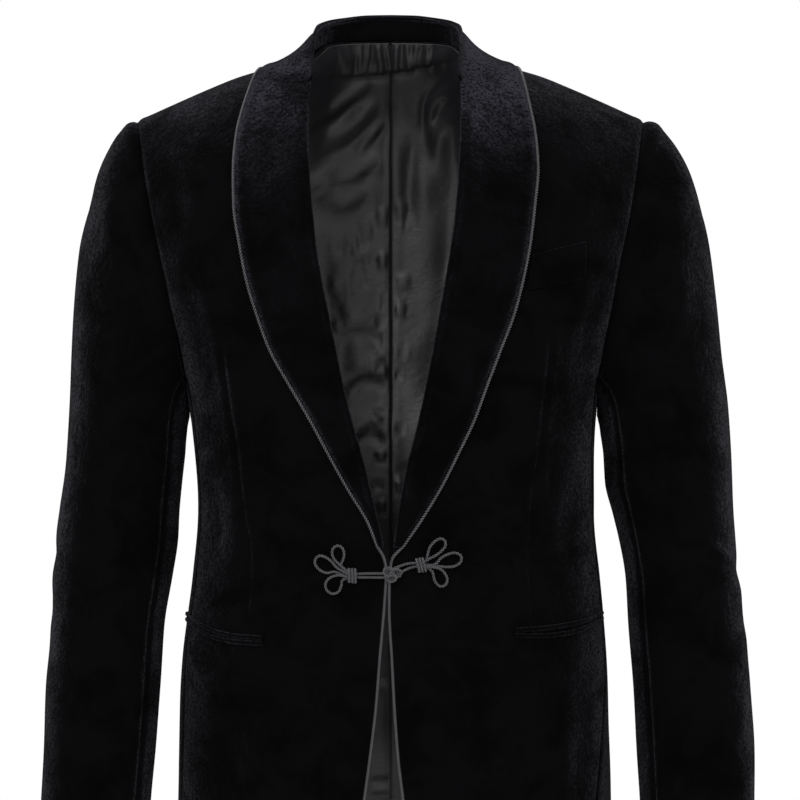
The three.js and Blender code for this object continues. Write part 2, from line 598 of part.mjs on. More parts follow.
// Rows of the shawl from the closure to the centre back, each from its fold to its outer edge
function shawlRows(side) {
  const sign = SIDES[side];
  const full = SHAWL_LIFT + SHAWL_WALL;
  const lapel = LAPEL.map((row) => SHAWL_SHARES.map((share) => {
    const x = sign * mix(row[`roll_${side}`], row[`edge_${side}`], share);
    return onBody(side, 'front', x, mix(row.roll_z, row.edge_z, share), full);
  }));
  const collar = COLLAR.map((row) => {
    const fold = new THREE.Vector3(sign * row[`fold_${side}`], row.fold_y, row.fold_z);
    const edge = onShoulder(side, sign * row[`edge_${side}`], row.edge_y, full);
    return SHAWL_SHARES.map((share) => {
      const place = fold.clone().lerp(edge, share);
      const bow = 4 * share * (1 - share) * row.hollow;
      place.x += sign * bow * HOLLOW_SHARE;
      place.z += bow * HOLLOW_SHARE;
      return place;
    });
  });
  return [...lapel, ...collar];
}

function addShawl(side) {
  const rows = shawlRows(side);
  const normals = gridNormals(rows, false, SIDES[side]);
  addPiece(`shawl_${side}`, clothWall(rows, normals, SHAWL_WALL), VELVET);
}

// Inner stand of the collar, in one piece round the neck from front to front
function addStand() {
  const half = (side) => COLLAR.map((row) => {
    const fold = new THREE.Vector3(SIDES[side] * row[`fold_${side}`], row.fold_y, row.fold_z);
    const inward = new THREE.Vector3(-fold.x, Math.min(-fold.y, 0), 0).normalize();
    const top = fold.clone().addScaledVector(inward, SHAWL_WALL + CORD_GAP);
    const foot = top.clone().add(new THREE.Vector3(SIDES[side] * row.stand_x, row.stand_y, row.stand_z));
    return STAND_SHARES.map((share) => foot.clone().lerp(top, share));
  });
  const rows = [...half('right'), ...half('left').slice(0, -1).reverse()];
  const normals = gridNormals(rows, false, 1);
  addPiece('collar_stand', clothWall(rows, normals, STAND_WALL), VELVET);
}

// A round cord along a line of points
function cordGeometry(points, steps) {
  const outline = new THREE.Shape();
  outline.absarc(0, 0, CORD_RADIUS, 0, Math.PI * 2, false);
  const extrudePath = new THREE.CatmullRomCurve3(points, false, 'centripetal');
  const curveSegments = CORD_SIDES / 2;
  return new THREE.ExtrudeGeometry(outline, { steps, curveSegments, bevelEnabled: false, extrudePath });
}

function addPiping(side) {
  const sign = SIDES[side];
  const heights = FRONT_CORD.map((row) => row.z).filter((z) => z > HEM);
  const edge = [HEM + HEM_CORNER_RADIUS, LOWEST_EDGE_CORD, ...heights].map((z) => {
    return onBody(side, 'front', frontCord[side](z), z, -VELVET_WALL / 2);
  });
  const shawl = shawlRows(side);
  const normals = gridNormals(shawl, false, sign);
  const border = shawl.map((row, i) => {
    const last = row.length - 1;
    const out = row[last].clone().sub(row[last - 1]).normalize();
    const middle = row[last].clone().addScaledVector(normals[i][last], -SHAWL_WALL / 2);
    return middle.addScaledVector(out, CORD_RADIUS + SHAWL_CORD_GAP);
  });
  const turn = onBody(side, 'front', CORD_TURN[side], CORD_TURN.z, CORD_TURN.lift);
  addPiece(`piping_${side}`, cordGeometry([...edge, turn, ...border], CORD_STEPS.piping), CORD);
}

// A strip on a front between two lines of places, moved out from the front's own form
function addStrip(name, side, lines, finish) {
  const rows = lines.map((line) => line.map(({ x, z }) => {
    return onBody(side, 'front', SIDES[side] * x, z, TRIM_LIFT + POCKET_WALL);
  }));
  const normals = lines.map((line) => line.map(({ x, z }) => {
    return bodyNormal(side, 'front', bodyPoint(side, 'front', SIDES[side] * x, z));
  }));
  addPiece(name, clothWall(rows, normals, POCKET_WALL), finish);
}

function addPockets() {
  addStrip('breast_welt', 'left', [BREAST_WELT.bottom, BREAST_WELT.top], VELVET);
  for (const side of ['right', 'left']) {
    const mouth = HIP_POCKET[side];
    const shifted = (rise) => mouth.map(({ x, z }) => ({ x, z: z + rise }));
    const near = HIP_POCKET.jet_gap / 2;
    const far = near + HIP_POCKET.jet_height;
    addStrip(`hip_jet_upper_${side}`, side, [shifted(near), shifted(far)], VELVET);
    addStrip(`hip_jet_lower_${side}`, side, [shifted(-far), shifted(-near)], VELVET);
  }
}

function toManifold(geometry) {
  const bare = geometry.clone();
  bare.deleteAttribute('normal');
  bare.deleteAttribute('uv');
  const merged = mergeVertices(bare, 1e-4);
  return new wasm.Manifold(new wasm.Mesh({
    numProp: 3,
    vertProperties: new Float32Array(merged.attributes.position.array),
    triVerts: new Uint32Array(merged.index.array),
  }));
}

function joined(geometries) {
  const whole = geometries.map(toManifold).reduce((sum, solid) => sum.add(solid));
  const mesh = whole.getMesh();
  const geometry = new THREE.BufferGeometry();
  geometry.setAttribute('position', new THREE.Float32BufferAttribute(mesh.vertProperties, 3));
  geometry.setIndex(Array.from(mesh.triVerts));
  geometry.computeVertexNormals();
  return geometry;
}

// A frog half: three loops and two bars of cord that come out of a wrap, lying on its front
function addFrog(side) {
  const frog = FROGS[side];
  const place = (x, z, extra) => onBody(side, 'front', x, z, FROG_LIFT + extra);
  const loops = frog.loops.map(({ turn, length, half }) => {
    const points = [];
    const way = degrees(turn);
    for (let k = 0; k <= LOOP.points; k += 1) {
      const round = (2 * Math.PI * k) / LOOP.points;
      const share = (1 - Math.cos(round)) / 2;
      const out = length * share;
      const aside = half * Math.sin(round) * Math.sqrt(Math.max(share, LOOP.least_pinch)) * LOOP.fullness;
      const x = frog.wrap.x + out * Math.cos(way) - aside * Math.sin(way);
      const z = frog.wrap.z + out * Math.sin(way) + aside * Math.cos(way);
      points.push(place(x, z, k < LOOP.points / 2 ? LOOP.crossing : 0));
    }
    return cordGeometry(points, CORD_STEPS.loop);
  });
  const bars = frog.bars.map((bar) => {
    const from = place(bar.from_x, bar.from_z, 0);
    const to = place(bar.to_x, bar.to_z, BAR_RISE);
    return cordGeometry([from, from.clone().lerp(to, 0.5), to], CORD_STEPS.bar);
  });
  const wrap = new THREE.SphereGeometry(1, ROUND.across, ROUND.down);
  wrap.scale(frog.wrap.width / 2, WRAP.depth, frog.wrap.height / 2);
  wrap.translate(...place(frog.wrap.x, frog.wrap.z, WRAP.rise).toArray());
  addPiece(`frog_${side}`, joined([wrap, ...loops, ...bars]), CORD);
}

// The knot over the meeting edges: three flattened rings of cord through each other
function addKnot() {
  const centre = onBody('left', 'front', KNOT.x, KNOT.z, KNOT.lift);
  const rings = KNOT.turns.map((turn) => {
    const radius = KNOT.height / 2 - KNOT.ring_inset;
    const ring = new THREE.TorusGeometry(radius, KNOT.ring_radius, CORD_SIDES, ROUND.ring);
    ring.scale(1, KNOT.width / KNOT.height / KNOT.ring_squeeze, 1);
    ring.rotateZ(degrees(turn));
    ring.rotateX(Math.PI / 2);
    ring.scale(KNOT.width / KNOT.height, 1, 1);
    ring.translate(...centre.toArray());
    return ring;
  });
  const core = new THREE.SphereGeometry(1, ROUND.across, ROUND.down);
  core.scale(KNOT.width / 2 - KNOT.core_inset, KNOT.core_depth, KNOT.height / 2 - KNOT.core_inset);
  core.translate(...centre.toArray());
  addPiece('frog_knot', joined([core, ...rings]), CORD);
}

for (const side of ['right', 'left']) {
  addFront(side);
  addSidePanel(side);
  addBack(side);
  addLining(side);
  addSleeve(side);
  addShawl(side);
  addPiping(side);
  addFrog(side);
}
addStand();
addPockets();
addKnot();

export default blazer;
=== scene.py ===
# A black velvet evening blazer with a corded shawl collar and a frog closure, filled out and hollow.
# Lengths here are millimetres in the garment's own frame, and become metres when a mesh is made.
import math

import bpy
import numpy as np
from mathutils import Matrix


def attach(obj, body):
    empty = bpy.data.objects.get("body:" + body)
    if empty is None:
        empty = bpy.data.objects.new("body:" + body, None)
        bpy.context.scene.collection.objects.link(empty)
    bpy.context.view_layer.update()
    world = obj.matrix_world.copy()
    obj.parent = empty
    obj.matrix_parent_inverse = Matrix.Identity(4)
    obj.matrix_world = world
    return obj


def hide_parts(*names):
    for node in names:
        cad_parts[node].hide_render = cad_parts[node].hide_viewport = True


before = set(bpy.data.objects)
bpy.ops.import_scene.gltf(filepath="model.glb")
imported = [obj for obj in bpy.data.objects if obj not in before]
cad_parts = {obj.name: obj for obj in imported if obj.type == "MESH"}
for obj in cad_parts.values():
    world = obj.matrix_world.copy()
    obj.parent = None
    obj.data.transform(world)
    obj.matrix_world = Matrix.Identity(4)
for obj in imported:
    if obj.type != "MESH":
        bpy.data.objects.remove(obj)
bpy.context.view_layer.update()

MM = 0.001
SIDES = {"right": -1, "left": 1}

# Cloth thicknesses and the clearances between pieces
VELVET_WALL = 2.0
SHAWL_WALL = 3.0
STAND_WALL = 2.2
LINING_WALL = 1.0
POCKET_WALL = 1.4
CORD_RADIUS = 1.4
CORD_GAP = 0.4
SHAWL_LIFT = 1.7
TRIM_LIFT = 0.4
SHAWL_CORD_GAP = 0.5

# Main heights
HEM = -738
HEM_CORNER_RADIUS = 30
LINING_ABOVE_HEM = 24
UNDERARM = -316
SHOULDER_END = 226
CLOSURE = -455
ROLL_CLEARANCE = 1.2
EDGE_TURN_TOP = -425
NECK_EDGE = 79
NECK_EASE = (-60, 0)
HOLLOW_SHARE = 0.7
RING_POWER = 2.4
ROUNDING = {"front": 150, "back": 120}


def table(columns, *rows):
    """Rows of numbers as one array for each named column."""
    return {name: np.array(column, float) for name, column in zip(columns.split(), zip(*rows))}


# Body rings: half-widths on the wearer's right and left, depths in front and behind
BODY = table(
    "z right left front back",
    (60, 240, 240, 96, 100), (0, 240, 240, 104, 108), (-54, 239, 239, 110, 116), (-89, 238, 238, 113, 122),
    (-136, 231, 232, 117, 128), (-170, 223, 224, 119, 129), (-215, 211, 213, 120, 127),
    (-260, 193, 196, 120, 122), (-292, 183, 186, 118, 118), (-349, 175, 182, 113, 108),
    (-404, 172, 182, 109, 103), (-459, 176, 187, 108, 107), (-532, 186, 193, 111, 118),
    (-590, 188, 195, 114, 125), (-662, 190, 197, 118, 130), (-738, 192, 198, 121, 133),
)

# Shoulder ridge and, inside the neck point, the slope that carries the collar
RIDGE = table(
    "x z",
    (0, 43), (35, 38), (58, 25), (72, 8), (78, 2), (110, -8), (135, -15.5), (160, -25.5), (190, -38.5),
    (226, -54.5), (245, -63),
)

# Neckline of the back, from the centre back seam to the shoulder seam
BACK_NECK = table("x z", (0, 23), (35, 22), (58, 18), (72, 6), (78, 2))

# Armhole: angle on the body's ring, from the side line, in degrees
ARMHOLE = table(
    "z front back",
    (-54, 21, 21), (-92, 24.5, 24), (-138, 25.7, 26), (-200, 25.4, 26), (-222, 23.6, 24.5),
    (-247, 19.9, 20.5), (-268, 15.5, 16), (-295, 8.9, 9), (-316, 0, 0),
)

# Seams of the side panels: angle on the ring from the side line, in degrees
SIDE_SEAMS = table(
    "z right left back",
    (-277, 13.5, 13.5, 14), (-330, 13, 12, 17), (-404, 13, 11, 20), (-532, 14, 11, 20),
    (-590, 14.5, 17, 20), (-662, 14.5, 26, 20), (-738, 14.5, 32, 20),
)

# Corded front edges below the closure, as the middle line of the cord
FRONT_CORD = table(
    "z right left",
    (-738, -34, 21), (-648, -22.4, 11.2), (-615, -17.9, 7.2), (-570, -12.5, 3.8), (-527, -9.1, 1.5),
    (-487, -5.6, -0.7), (-455, -3.7, -0.1),
)

# Where each cord climbs from the front edge to the shawl's edge, just above the closure
CORD_TURN = {"z": -441, "right": -5.4, "left": 1.9, "lift": 1.6}

# Shawl on the fronts: the roll line and the outer edge, both lying on the front
LAPEL = table(
    "roll_z roll_right roll_left edge_z edge_right edge_left",
    (-430, 7, 4.2, -430, 9.4, 9.6), (-410, 11.2, 7, -410, 17.2, 23.4), (-380, 18.4, 11.7, -380, 35, 41.5),
    (-350, 26.1, 18.4, -350, 51.5, 56.6), (-320, 34.5, 26, -320, 67.5, 70.7),
    (-290, 41.9, 32.6, -290, 85, 81.6), (-260, 48, 38.1, -260, 101.6, 93),
    (-230, 54, 43.4, -230, 112.7, 104.4), (-200, 60, 48.8, -200, 121.7, 112.3),
    (-170, 64.9, 53.6, -168, 128, 118.6), (-140, 68.1, 57.4, -136, 132.8, 122.6),
    (-110, 70.5, 59.9, -103, 133.6, 125.8), (-82, 71.8, 61.3, -72, 131.5, 124),
    (-52, 71.5, 62.1, -49, 126.5, 120),
)

# Collar round the neck, to the centre back: fold, outer edge on the shoulder, and stand seam
COLLAR = table(
    "fold_right fold_left fold_y fold_z edge_right edge_left edge_y stand_x stand_y stand_z hollow",
    (71.4, 63, -66, -20, 121, 116, -45, 4, 2, -7, 2),
    (71, 64.5, -38, 6, 116, 112.5, -22, 4, 1, -13, -1),
    (70.5, 66, -12, 22, 112, 109, 3, 6, 0, -20, -4),
    (68.5, 65, 14, 31, 101, 100, 26, 6, 0, -24, -4),
    (60, 57.5, 38, 38, 84, 83, 46, 1, -1, -19.5, -2),
    (43, 41, 56, 43, 60, 59, 65, 0, -3, -20.5, 0),
    (22, 21, 64, 46, 31, 31, 79, 0, -4, -22, 0),
    (0.6, 0.6, 66, 46.5, 0.6, 0.6, 84, 0, -4, -22, 0),
)

# Sleeve sections from the armhole to the cuff: outer and inner points in the front view,
# half depth, the section's middle in depth, and how much of the armhole's shape is left
SLEEVE = table(
    "outer_z outer_right outer_left inner_z inner_right inner_left depth y armhole",
    (-54.5, 226, 226, -316, 182, 186, 62, 3, 1), (-57.5, 234.5, 238, -317, 182, 186.5, 63, 3, 0.92),
    (-66, 243.5, 246, -318.5, 182, 186.5, 64, 3, 0.8), (-80, 252.3, 256.7, -320, 182, 187, 65, 3.5, 0.62),
    (-100, 261.3, 267.6, -322, 182, 187, 66, 4, 0.42), (-130, 269.3, 277, -325, 182.2, 187.5, 66.5, 4.5, 0.24),
    (-170, 278.8, 285.9, -329, 182.5, 188, 66.5, 5, 0.1), (-215, 283.3, 291.7, -334, 182.8, 188.5, 66, 6, 0.03),
    (-262, 286, 296.2, -341, 183.4, 189.5, 65, 7, 0), (-310, 288, 302.6, -352, 184, 191, 63.5, 8, 0),
    (-361, 291.3, 306, -378, 186.5, 192.5, 61, 8, 0), (-400, 296.7, 307.2, -406, 189.3, 199.5, 58, 7, 0),
    (-425, 299.5, 308.8, -428, 190.5, 204.5, 56, 5, 0), (-464, 301.2, 311.9, -464, 195.3, 210.2, 53, 0, 0),
    (-510, 303, 316.4, -508, 201.8, 212.5, 51, -8, 0), (-560, 306.4, 320.4, -556, 204.3, 215.5, 49, -18, 0),
    (-612, 307.4, 323.1, -606, 207.8, 218.2, 47, -28, 0), (-662, 309.2, 321.8, -656, 211.7, 220.6, 45, -37, 0),
    (-692, 310, 321.5, -686, 213, 221.5, 44, -42, 0),
)

# Turns round the armhole where the seams meet it, in degrees: 0 at the shoulder, positive in front
FRONT_TURN = 140
BACK_TURN = -135
SLEEVE_SEAM_TURNS = {"front": 140, "back": 242}

# Pockets on the fronts
BREAST_WELT = {
    "top": table("x z", (123.5, -178.6), (146, -172.5), (169, -166.5)),
    "bottom": table("x z", (118.5, -207.5), (144, -203.6), (168.5, -197.8)),
}
JET_HEIGHT = 4.2
JET_GAP = 0.5
HIP_POCKET = {
    "right": table(
        "x z gape",
        (111, -513, 0), (133, -512, 0.4), (150, -509.5, 0.7), (162, -505.5, 0.5), (170, -502, 0.3),
        (175.5, -499, 0.1), (179, -496.5, 0),
    ),
    "left": table(
        "x z gape",
        (109, -506, 0), (133, -505, 1.8), (152, -503, 2.6), (166, -501, 1.8), (175, -499, 0.8),
        (182, -496.5, 0.2), (186, -495, 0),
    ),
}

# Darts of the fronts, from the bust to their lower ends, as places (x, z)
DARTS = {
    "right": [(-148, -245), (-144, -282), (-140, -314), (-135, -343), (-131, -380), (-127, -409), (-123, -430),
              (-123, -452), (-125, -498)],
    "left": [(140, -236), (139, -261), (136, -295), (132, -330), (129, -358), (125, -384), (123, -413),
             (122, -456), (125, -496)],
}


def fold(route, width, depth, lean=0.6):
    """One crease: its route, how wide and deep its trough is, and how much the cloth beside it rises."""
    return {"route": route, "width": width, "depth": depth, "lean": lean}


# Creases of the fronts, as places (x, z)
FRONT_FOLDS = {
    "right": [
        fold([(-14, -463), (-60, -476), (-108, -488)], 7, 1.5),
        fold([(-16, -446), (-62, -438), (-112, -418)], 9, 1.2),
        fold([(-20, -478), (-66, -508), (-96, -532)], 9, 1.2),
        fold([(-60, -545), (-70, -630), (-84, -738)], 24, 3.0),
        fold([(-132, -560), (-142, -640), (-150, -745)], 18, 2.6),
        fold([(-181, -190), (-168, -236), (-160, -290)], 8, 1.1),
        fold([(-206, -82), (-192, -112), (-184, -160)], 11, 1.6),
        fold([(-166, -360), (-152, -402), (-150, -450)], 8, 1.4),
        fold([(-135, -110), (-160, -122), (-186, -120)], 8, 0.9),
    ],
    "left": [
        fold([(14, -463), (26, -480), (36, -510)], 5, 1.5),
        fold([(20, -470), (68, -488), (104, -496)], 8, 1.2),
        fold([(16, -440), (60, -430), (108, -412)], 9, 1.0),
        fold([(54, -545), (66, -640), (82, -745)], 24, 3.0),
        fold([(118, -530), (126, -620), (134, -745)], 16, 2.4),
        fold([(188, -190), (174, -236), (164, -292)], 8, 1.1),
        fold([(206, -82), (194, -112), (186, -160)], 11, 1.6),
        fold([(172, -360), (158, -402), (154, -450)], 9, 1.6),
        fold([(165, -540), (168, -600), (160, -680)], 10, 1.8),
        fold([(103, -7), (130, -18), (158, -27)], 1.8, 1.3, 0.2),
        fold([(138, -104), (160, -112), (184, -108)], 8, 0.9),
    ],
}

# Short upright pinches at the inner ends of the hip pockets
POCKET_PINCHES = {
    "right": [fold([(-109, -502), (-109, -512), (-109, -522)], 1.8, 1.0, 0.3)],
    "left": [fold([(107, -488), (107, -504), (107, -520)], 1.8, 1.0, 0.3)],
}

# Creases of each back, for the wearer's left; the right back has them a little longer and lower
BACK_FOLDS = [
    fold([(40, -92), (96, -132), (150, -196)], 15, 2.0),
    fold([(84, -70), (134, -104), (178, -160)], 12, 1.6),
    fold([(12, -392), (70, -404), (136, -424)], 10, 1.8),
    fold([(8, -424), (62, -440), (128, -446)], 8, 1.5),
    fold([(16, -364), (64, -370), (112, -388)], 9, 1.2),
    fold([(34, -470), (46, -590), (58, -745)], 22, 2.2),
    fold([(104, -480), (118, -600), (130, -745)], 18, 2.0),
    fold([(146, -210), (140, -260), (146, -316)], 9, 1.8),
    fold([(8, -14), (40, -20), (74, -34)], 9, 1.2),
]
BACK_FOLD_SHIFT = {"right": (6, -9), "left": (0, 0)}

# Creases of the sleeves, as (turn in degrees, height): the elbow, the underarm and the twist
SLEEVE_FOLDS = {
    "right": [
        fold([(58, -442), (104, -456), (152, -446)], 8, 2.6),
        fold([(66, -484), (112, -500), (160, -486)], 8, 2.2),
        fold([(70, -415), (108, -420), (150, -404)], 8, 1.6),
        fold([(93, -500), (104, -545), (122, -600)], 9, 1.8),
        fold([(24, -430), (-16, -452), (-64, -448)], 9, 2.0),
        fold([(10, -486), (-34, -500), (-84, -484)], 9, 1.8),
        fold([(60, -560), (92, -616), (112, -672)], 11, 1.8),
        fold([(150, -336), (120, -310), (84, -292)], 9, 2.4),
        fold([(152, -360), (118, -352), (80, -340)], 8, 1.8),
        fold([(34, -92), (84, -140), (112, -214)], 14, 2.0),
        fold([(14, -110), (48, -190), (62, -300)], 16, 2.2),
        fold([(-30, -120), (-70, -200), (-84, -300)], 14, 2.2),
        fold([(-40, -560), (-76, -610), (-96, -672)], 11, 1.8),
        fold([(206, -350), (232, -330), (262, -300)], 9, 2.2),
    ],
    "left": [
        fold([(62, -426), (42, -432), (16, -440)], 5, 2.2),
        fold([(96, -622), (68, -592), (40, -574)], 7, 2.6),
        fold([(66, -470), (112, -486), (156, -472)], 8, 2.2),
        fold([(30, -446), (-14, -462), (-60, -452)], 9, 2.0),
        fold([(70, -400), (112, -408), (152, -396)], 9, 1.6),
        fold([(104, -520), (88, -570), (96, -640)], 10, 1.6),
        fold([(152, -338), (122, -314), (86, -300)], 9, 2.4),
        fold([(150, -366), (120, -360), (86, -352)], 8, 1.6),
        fold([(32, -88), (80, -136), (108, -206)], 14, 2.0),
        fold([(16, -120), (46, -200), (58, -310)], 16, 2.4),
        fold([(-28, -124), (-68, -196), (-88, -290)], 14, 2.2),
        fold([(8, -496), (-36, -508), (-80, -490)], 9, 1.8),
        fold([(-44, -570), (-80, -616), (-98, -676)], 11, 1.8),
        fold([(204, -352), (234, -332), (264, -306)], 9, 2.2),
    ],
}
SLEEVE_MM_PER_DEGREE = 0.92

# The back lining's long folds, as places (x, z)
LINING_FOLDS = [
    fold([(-96, -12), (-40, -5), (4, 0), (40, 6), (84, 14)], 3.4, 2.2, 0.9),
    fold([(-82, -52), (-56, -43), (-37, -30), (-14, -15)], 4.5, 2.6, 1.0),
    fold([(-62, -76), (-40, -66), (-20, -52), (-6, -34)], 7, 2.0, 0.8),
    fold([(-28, -76), (-12, -60), (-2, -48)], 4, 2.2, 1.0),
    fold([(-52, -112), (-28, -100), (-6, -86)], 5, 2.2, 1.0),
    fold([(-84, -118), (-62, -108), (-38, -104)], 4.5, 2.0, 0.9),
    fold([(-78, -128), (-40, -134), (-12, -112)], 9, 2.2, 0.8),
    fold([(66, -4), (44, -12), (33, -24), (30, -60)], 4, 2.2, 1.0),
    fold([(70, -22), (50, -34), (36, -52), (34, -96)], 7, 2.4, 0.9),
    fold([(26, -40), (18, -90), (16, -150)], 8, 1.8, 0.8),
    fold([(60, -70), (54, -180), (38, -330)], 12, 2.2, 0.8),
    fold([(-66, -150), (-58, -220), (-40, -300)], 12, 1.6, 0.7),
    fold([(-52, -256), (-30, -244), (-6, -250)], 6, 2.2, 0.9),
    fold([(-44, -300), (-24, -288), (-4, -292)], 6, 2.0, 0.9),
    fold([(-40, -352), (-20, -338), (-2, -346)], 6, 1.8, 0.9),
    fold([(40, -360), (24, -372), (3, -368)], 7, 1.6, 0.8),
    fold([(-120, -200), (-90, -300), (-70, -420)], 16, 2.0, 0.7),
    fold([(120, -200), (96, -310), (84, -430)], 16, 2.0, 0.7),
    fold([(-30, -500), (-36, -600), (-44, -712)], 12, 2.0, 0.8),
    fold([(26, -490), (36, -600), (30, -712)], 12, 2.0, 0.8),
    fold([(-90, -520), (-100, -620), (-104, -712)], 14, 2.0, 0.7),
    fold([(92, -520), (100, -620), (108, -712)], 14, 2.0, 0.7),
]

# Small level puckers of the lining: middle, half length, thickness and depth
PUCKERS = table(
    "x z reach width depth",
    (-26, -145, 9, 1.7, 1.2), (-24, -152, 9, 1.7, 1.3), (-26, -160, 10, 1.8, 1.4), (-28, -168, 9, 2.2, 1.3),
    (-30, -180, 10, 3.0, 1.4), (-30, -192, 9, 2.6, 1.5), (-32, -206, 11, 3.4, 1.3), (-49, -160, 8, 2.0, 1.1),
    (-51, -166, 7, 1.8, 1.0), (-50, -199, 9, 2.2, 1.2), (-49, -206, 8, 1.9, 1.1), (-52, -226, 7, 2.2, 1.2),
    (-50, -236, 6, 2.0, 1.1), (-8, -134, 7, 2.4, 1.2), (-9, -150, 6, 2.0, 1.1), (-8, -176, 7, 2.6, 1.3),
    (-7, -214, 6, 2.2, 1.2), (-9, -232, 8, 2.6, 1.3), (-14, -270, 12, 2.4, 1.5), (-12, -278, 9, 2.2, 1.2),
    (-10, -318, 9, 2.6, 1.4), (-13, -326, 10, 2.2, 1.3), (-10, -358, 8, 2.4, 1.3), (-12, -382, 9, 2.6, 1.2),
    (-9, -404, 7, 2.2, 1.1), (10, -128, 8, 2.8, 1.3), (14, -140, 7, 2.0, 1.1), (12, -196, 8, 2.4, 1.0),
    (9, -222, 6, 2.2, 1.0), (10, -262, 9, 2.4, 1.0), (7, -282, 6, 2.0, 1.1), (9, -332, 7, 2.6, 1.0),
    (8, -386, 6, 2.2, 1.0), (-6, -470, 6, 2.4, 1.0), (6, -520, 7, 2.6, 1.0), (-8, -566, 8, 3.0, 1.2),
    (9, -612, 8, 2.8, 1.1), (-10, -660, 9, 3.0, 1.2), (10, -690, 8, 2.8, 1.0),
)

# Gathers where the lining is eased on to the neck: place across, width and depth
GATHERS = table(
    "x width depth",
    (-70, 2.6, 1.4), (-63, 1.8, 1.1), (-57, 2.4, 1.5), (-48, 2.0, 1.2), (-41, 2.6, 1.6), (-33, 1.7, 1.0),
    (-28, 2.2, 1.3), (-20, 1.8, 1.4), (-12, 2.6, 1.3), (-5, 1.6, 1.0), (6, 2.4, 1.0), (15, 2.0, 1.3),
    (24, 2.8, 1.1), (34, 2.2, 1.4), (45, 2.6, 1.0), (55, 2.0, 1.2), (64, 2.6, 1.0),
)
GATHER_TOP = 24
GATHER_LENGTH = 27

# Frog closure: the wraps, the loops' routes from wrap to wrap, the bars to the knot, and the knot
FROGS = {
    "right": {
        "wrap": {"x": -32.6, "z": -455.8, "tilt": -6},
        "loops": [
            [(-35, -454.2), (-38.6, -450.6), (-43.4, -446.4), (-48.2, -441.4), (-50, -436.3), (-48.6, -431.8),
             (-44.9, -429.9), (-41.2, -432.1), (-39.7, -436.8), (-40.6, -442), (-42.4, -446.6), (-38, -452.6)],
            [(-35, -456), (-40, -452.4), (-45.6, -449), (-50.3, -443.8), (-55.3, -440), (-60.3, -438.7),
             (-64, -441), (-64.7, -445.6), (-60.6, -451), (-54.3, -453.6), (-48.4, -452.6), (-36, -457)],
            [(-35, -457.6), (-39.6, -456.2), (-44, -455.4), (-49.6, -456.6), (-54, -459.7), (-55.7, -464.2),
             (-54.2, -468.9), (-49.4, -471.6), (-44.7, -469.8), (-42.1, -464.7), (-41.2, -460), (-36, -458)],
        ],
        "bars": [[(-30, -454.4), (-19, -453.9), (-3, -453.9)], [(-30, -457.2), (-19, -457.3), (-2, -457.2)]],
    },
    "left": {
        "wrap": {"x": 26.6, "z": -446.6, "tilt": 6},
        "loops": [
            [(29, -444), (33.4, -441.2), (38, -439), (43.5, -435), (47.4, -430), (47, -425.7), (43.2, -423.8),
             (38.2, -426.4), (34.1, -431.5), (32.5, -436.6), (31.2, -443)],
            [(29, -446.6), (34, -447), (39, -445.6), (43.6, -440.7), (49.8, -437.3), (56.2, -436.3),
             (61, -439.2), (60.6, -444), (55.7, -447.6), (49.2, -448.4), (42.2, -447.8), (30, -446)],
            [(29, -448), (37.6, -448.6), (43.5, -450.4), (47.2, -454.3), (49.1, -459.3), (47.4, -463.9),
             (43.2, -465.2), (39.4, -462), (37.5, -457.3), (36.4, -452.6), (30, -447.4)],
        ],
        "bars": [[(24, -444.9), (15, -445.5), (3, -449.5)], [(24, -447.7), (17, -449.2), (7, -454)]],
    },
}
WRAP = {"length": 9.2, "height": 13.6, "depth": 6.0, "turns": 2.5}
FROG_LIFT = 1.7
KNOT = {"x": 1.5, "z": -454.4, "width": 18.5, "height": 15.5, "lift": 4.6, "bulge": 2.0, "cord": 1.5}
CORD_PITCH = 5.2
FROG_CORD_RADIUS = 1.25

# How finely each cloth is meshed: points across and along
FINE = {
    "front": (98, 100, 72),
    "back": (84, 84, 66),
    "side": (34, 110),
    "lining": (84, 96, 60),
    "sleeve_top": (96, 176),
    "sleeve_under": (38, 176),
    "shawl": (46, 250),
    "stand": (16, 190),
    "pocket": (12, 64),
}


def mix(a, b, share):
    return a + (b - a) * share


def smooth(value, low, high):
    share = np.clip((value - low) / (high - low), 0, 1)
    return share * share * (3 - 2 * share)


def unit(vectors):
    return vectors / np.maximum(np.linalg.norm(vectors, axis=-1, keepdims=True), 1e-9)


def bump(distance, width):
    return np.exp(-((distance / width) ** 2))


def curve(rows, key, value):
    """Smooth curve through one column of a table against another, with no overshoot."""
    order = np.argsort(rows[key])
    x = rows[key][order]
    y = rows[value][order]
    step = np.diff(x)
    slope = np.diff(y) / step
    tangent = np.zeros_like(y)
    tangent[0] = slope[0]
    tangent[-1] = slope[-1]
    before = 2 * step[1:] + step[:-1]
    after = step[1:] + 2 * step[:-1]
    rising = slope[:-1] * slope[1:] > 0
    first = np.where(rising, slope[:-1], 1)
    second = np.where(rising, slope[1:], 1)
    tangent[1:-1] = np.where(rising, (before + after) / (before / first + after / second), 0)

    def at(where):
        here = np.clip(where, x[0], x[-1])
        i = np.clip(np.searchsorted(x, here) - 1, 0, len(x) - 2)
        t = (here - x[i]) / step[i]
        rise = t * t * (3 - 2 * t)
        start = t * (1 - t) ** 2 * step[i] * tangent[i]
        end = t * t * (t - 1) * step[i] * tangent[i + 1]
        return y[i] * (1 - rise) + y[i + 1] * rise + start + end

    return at


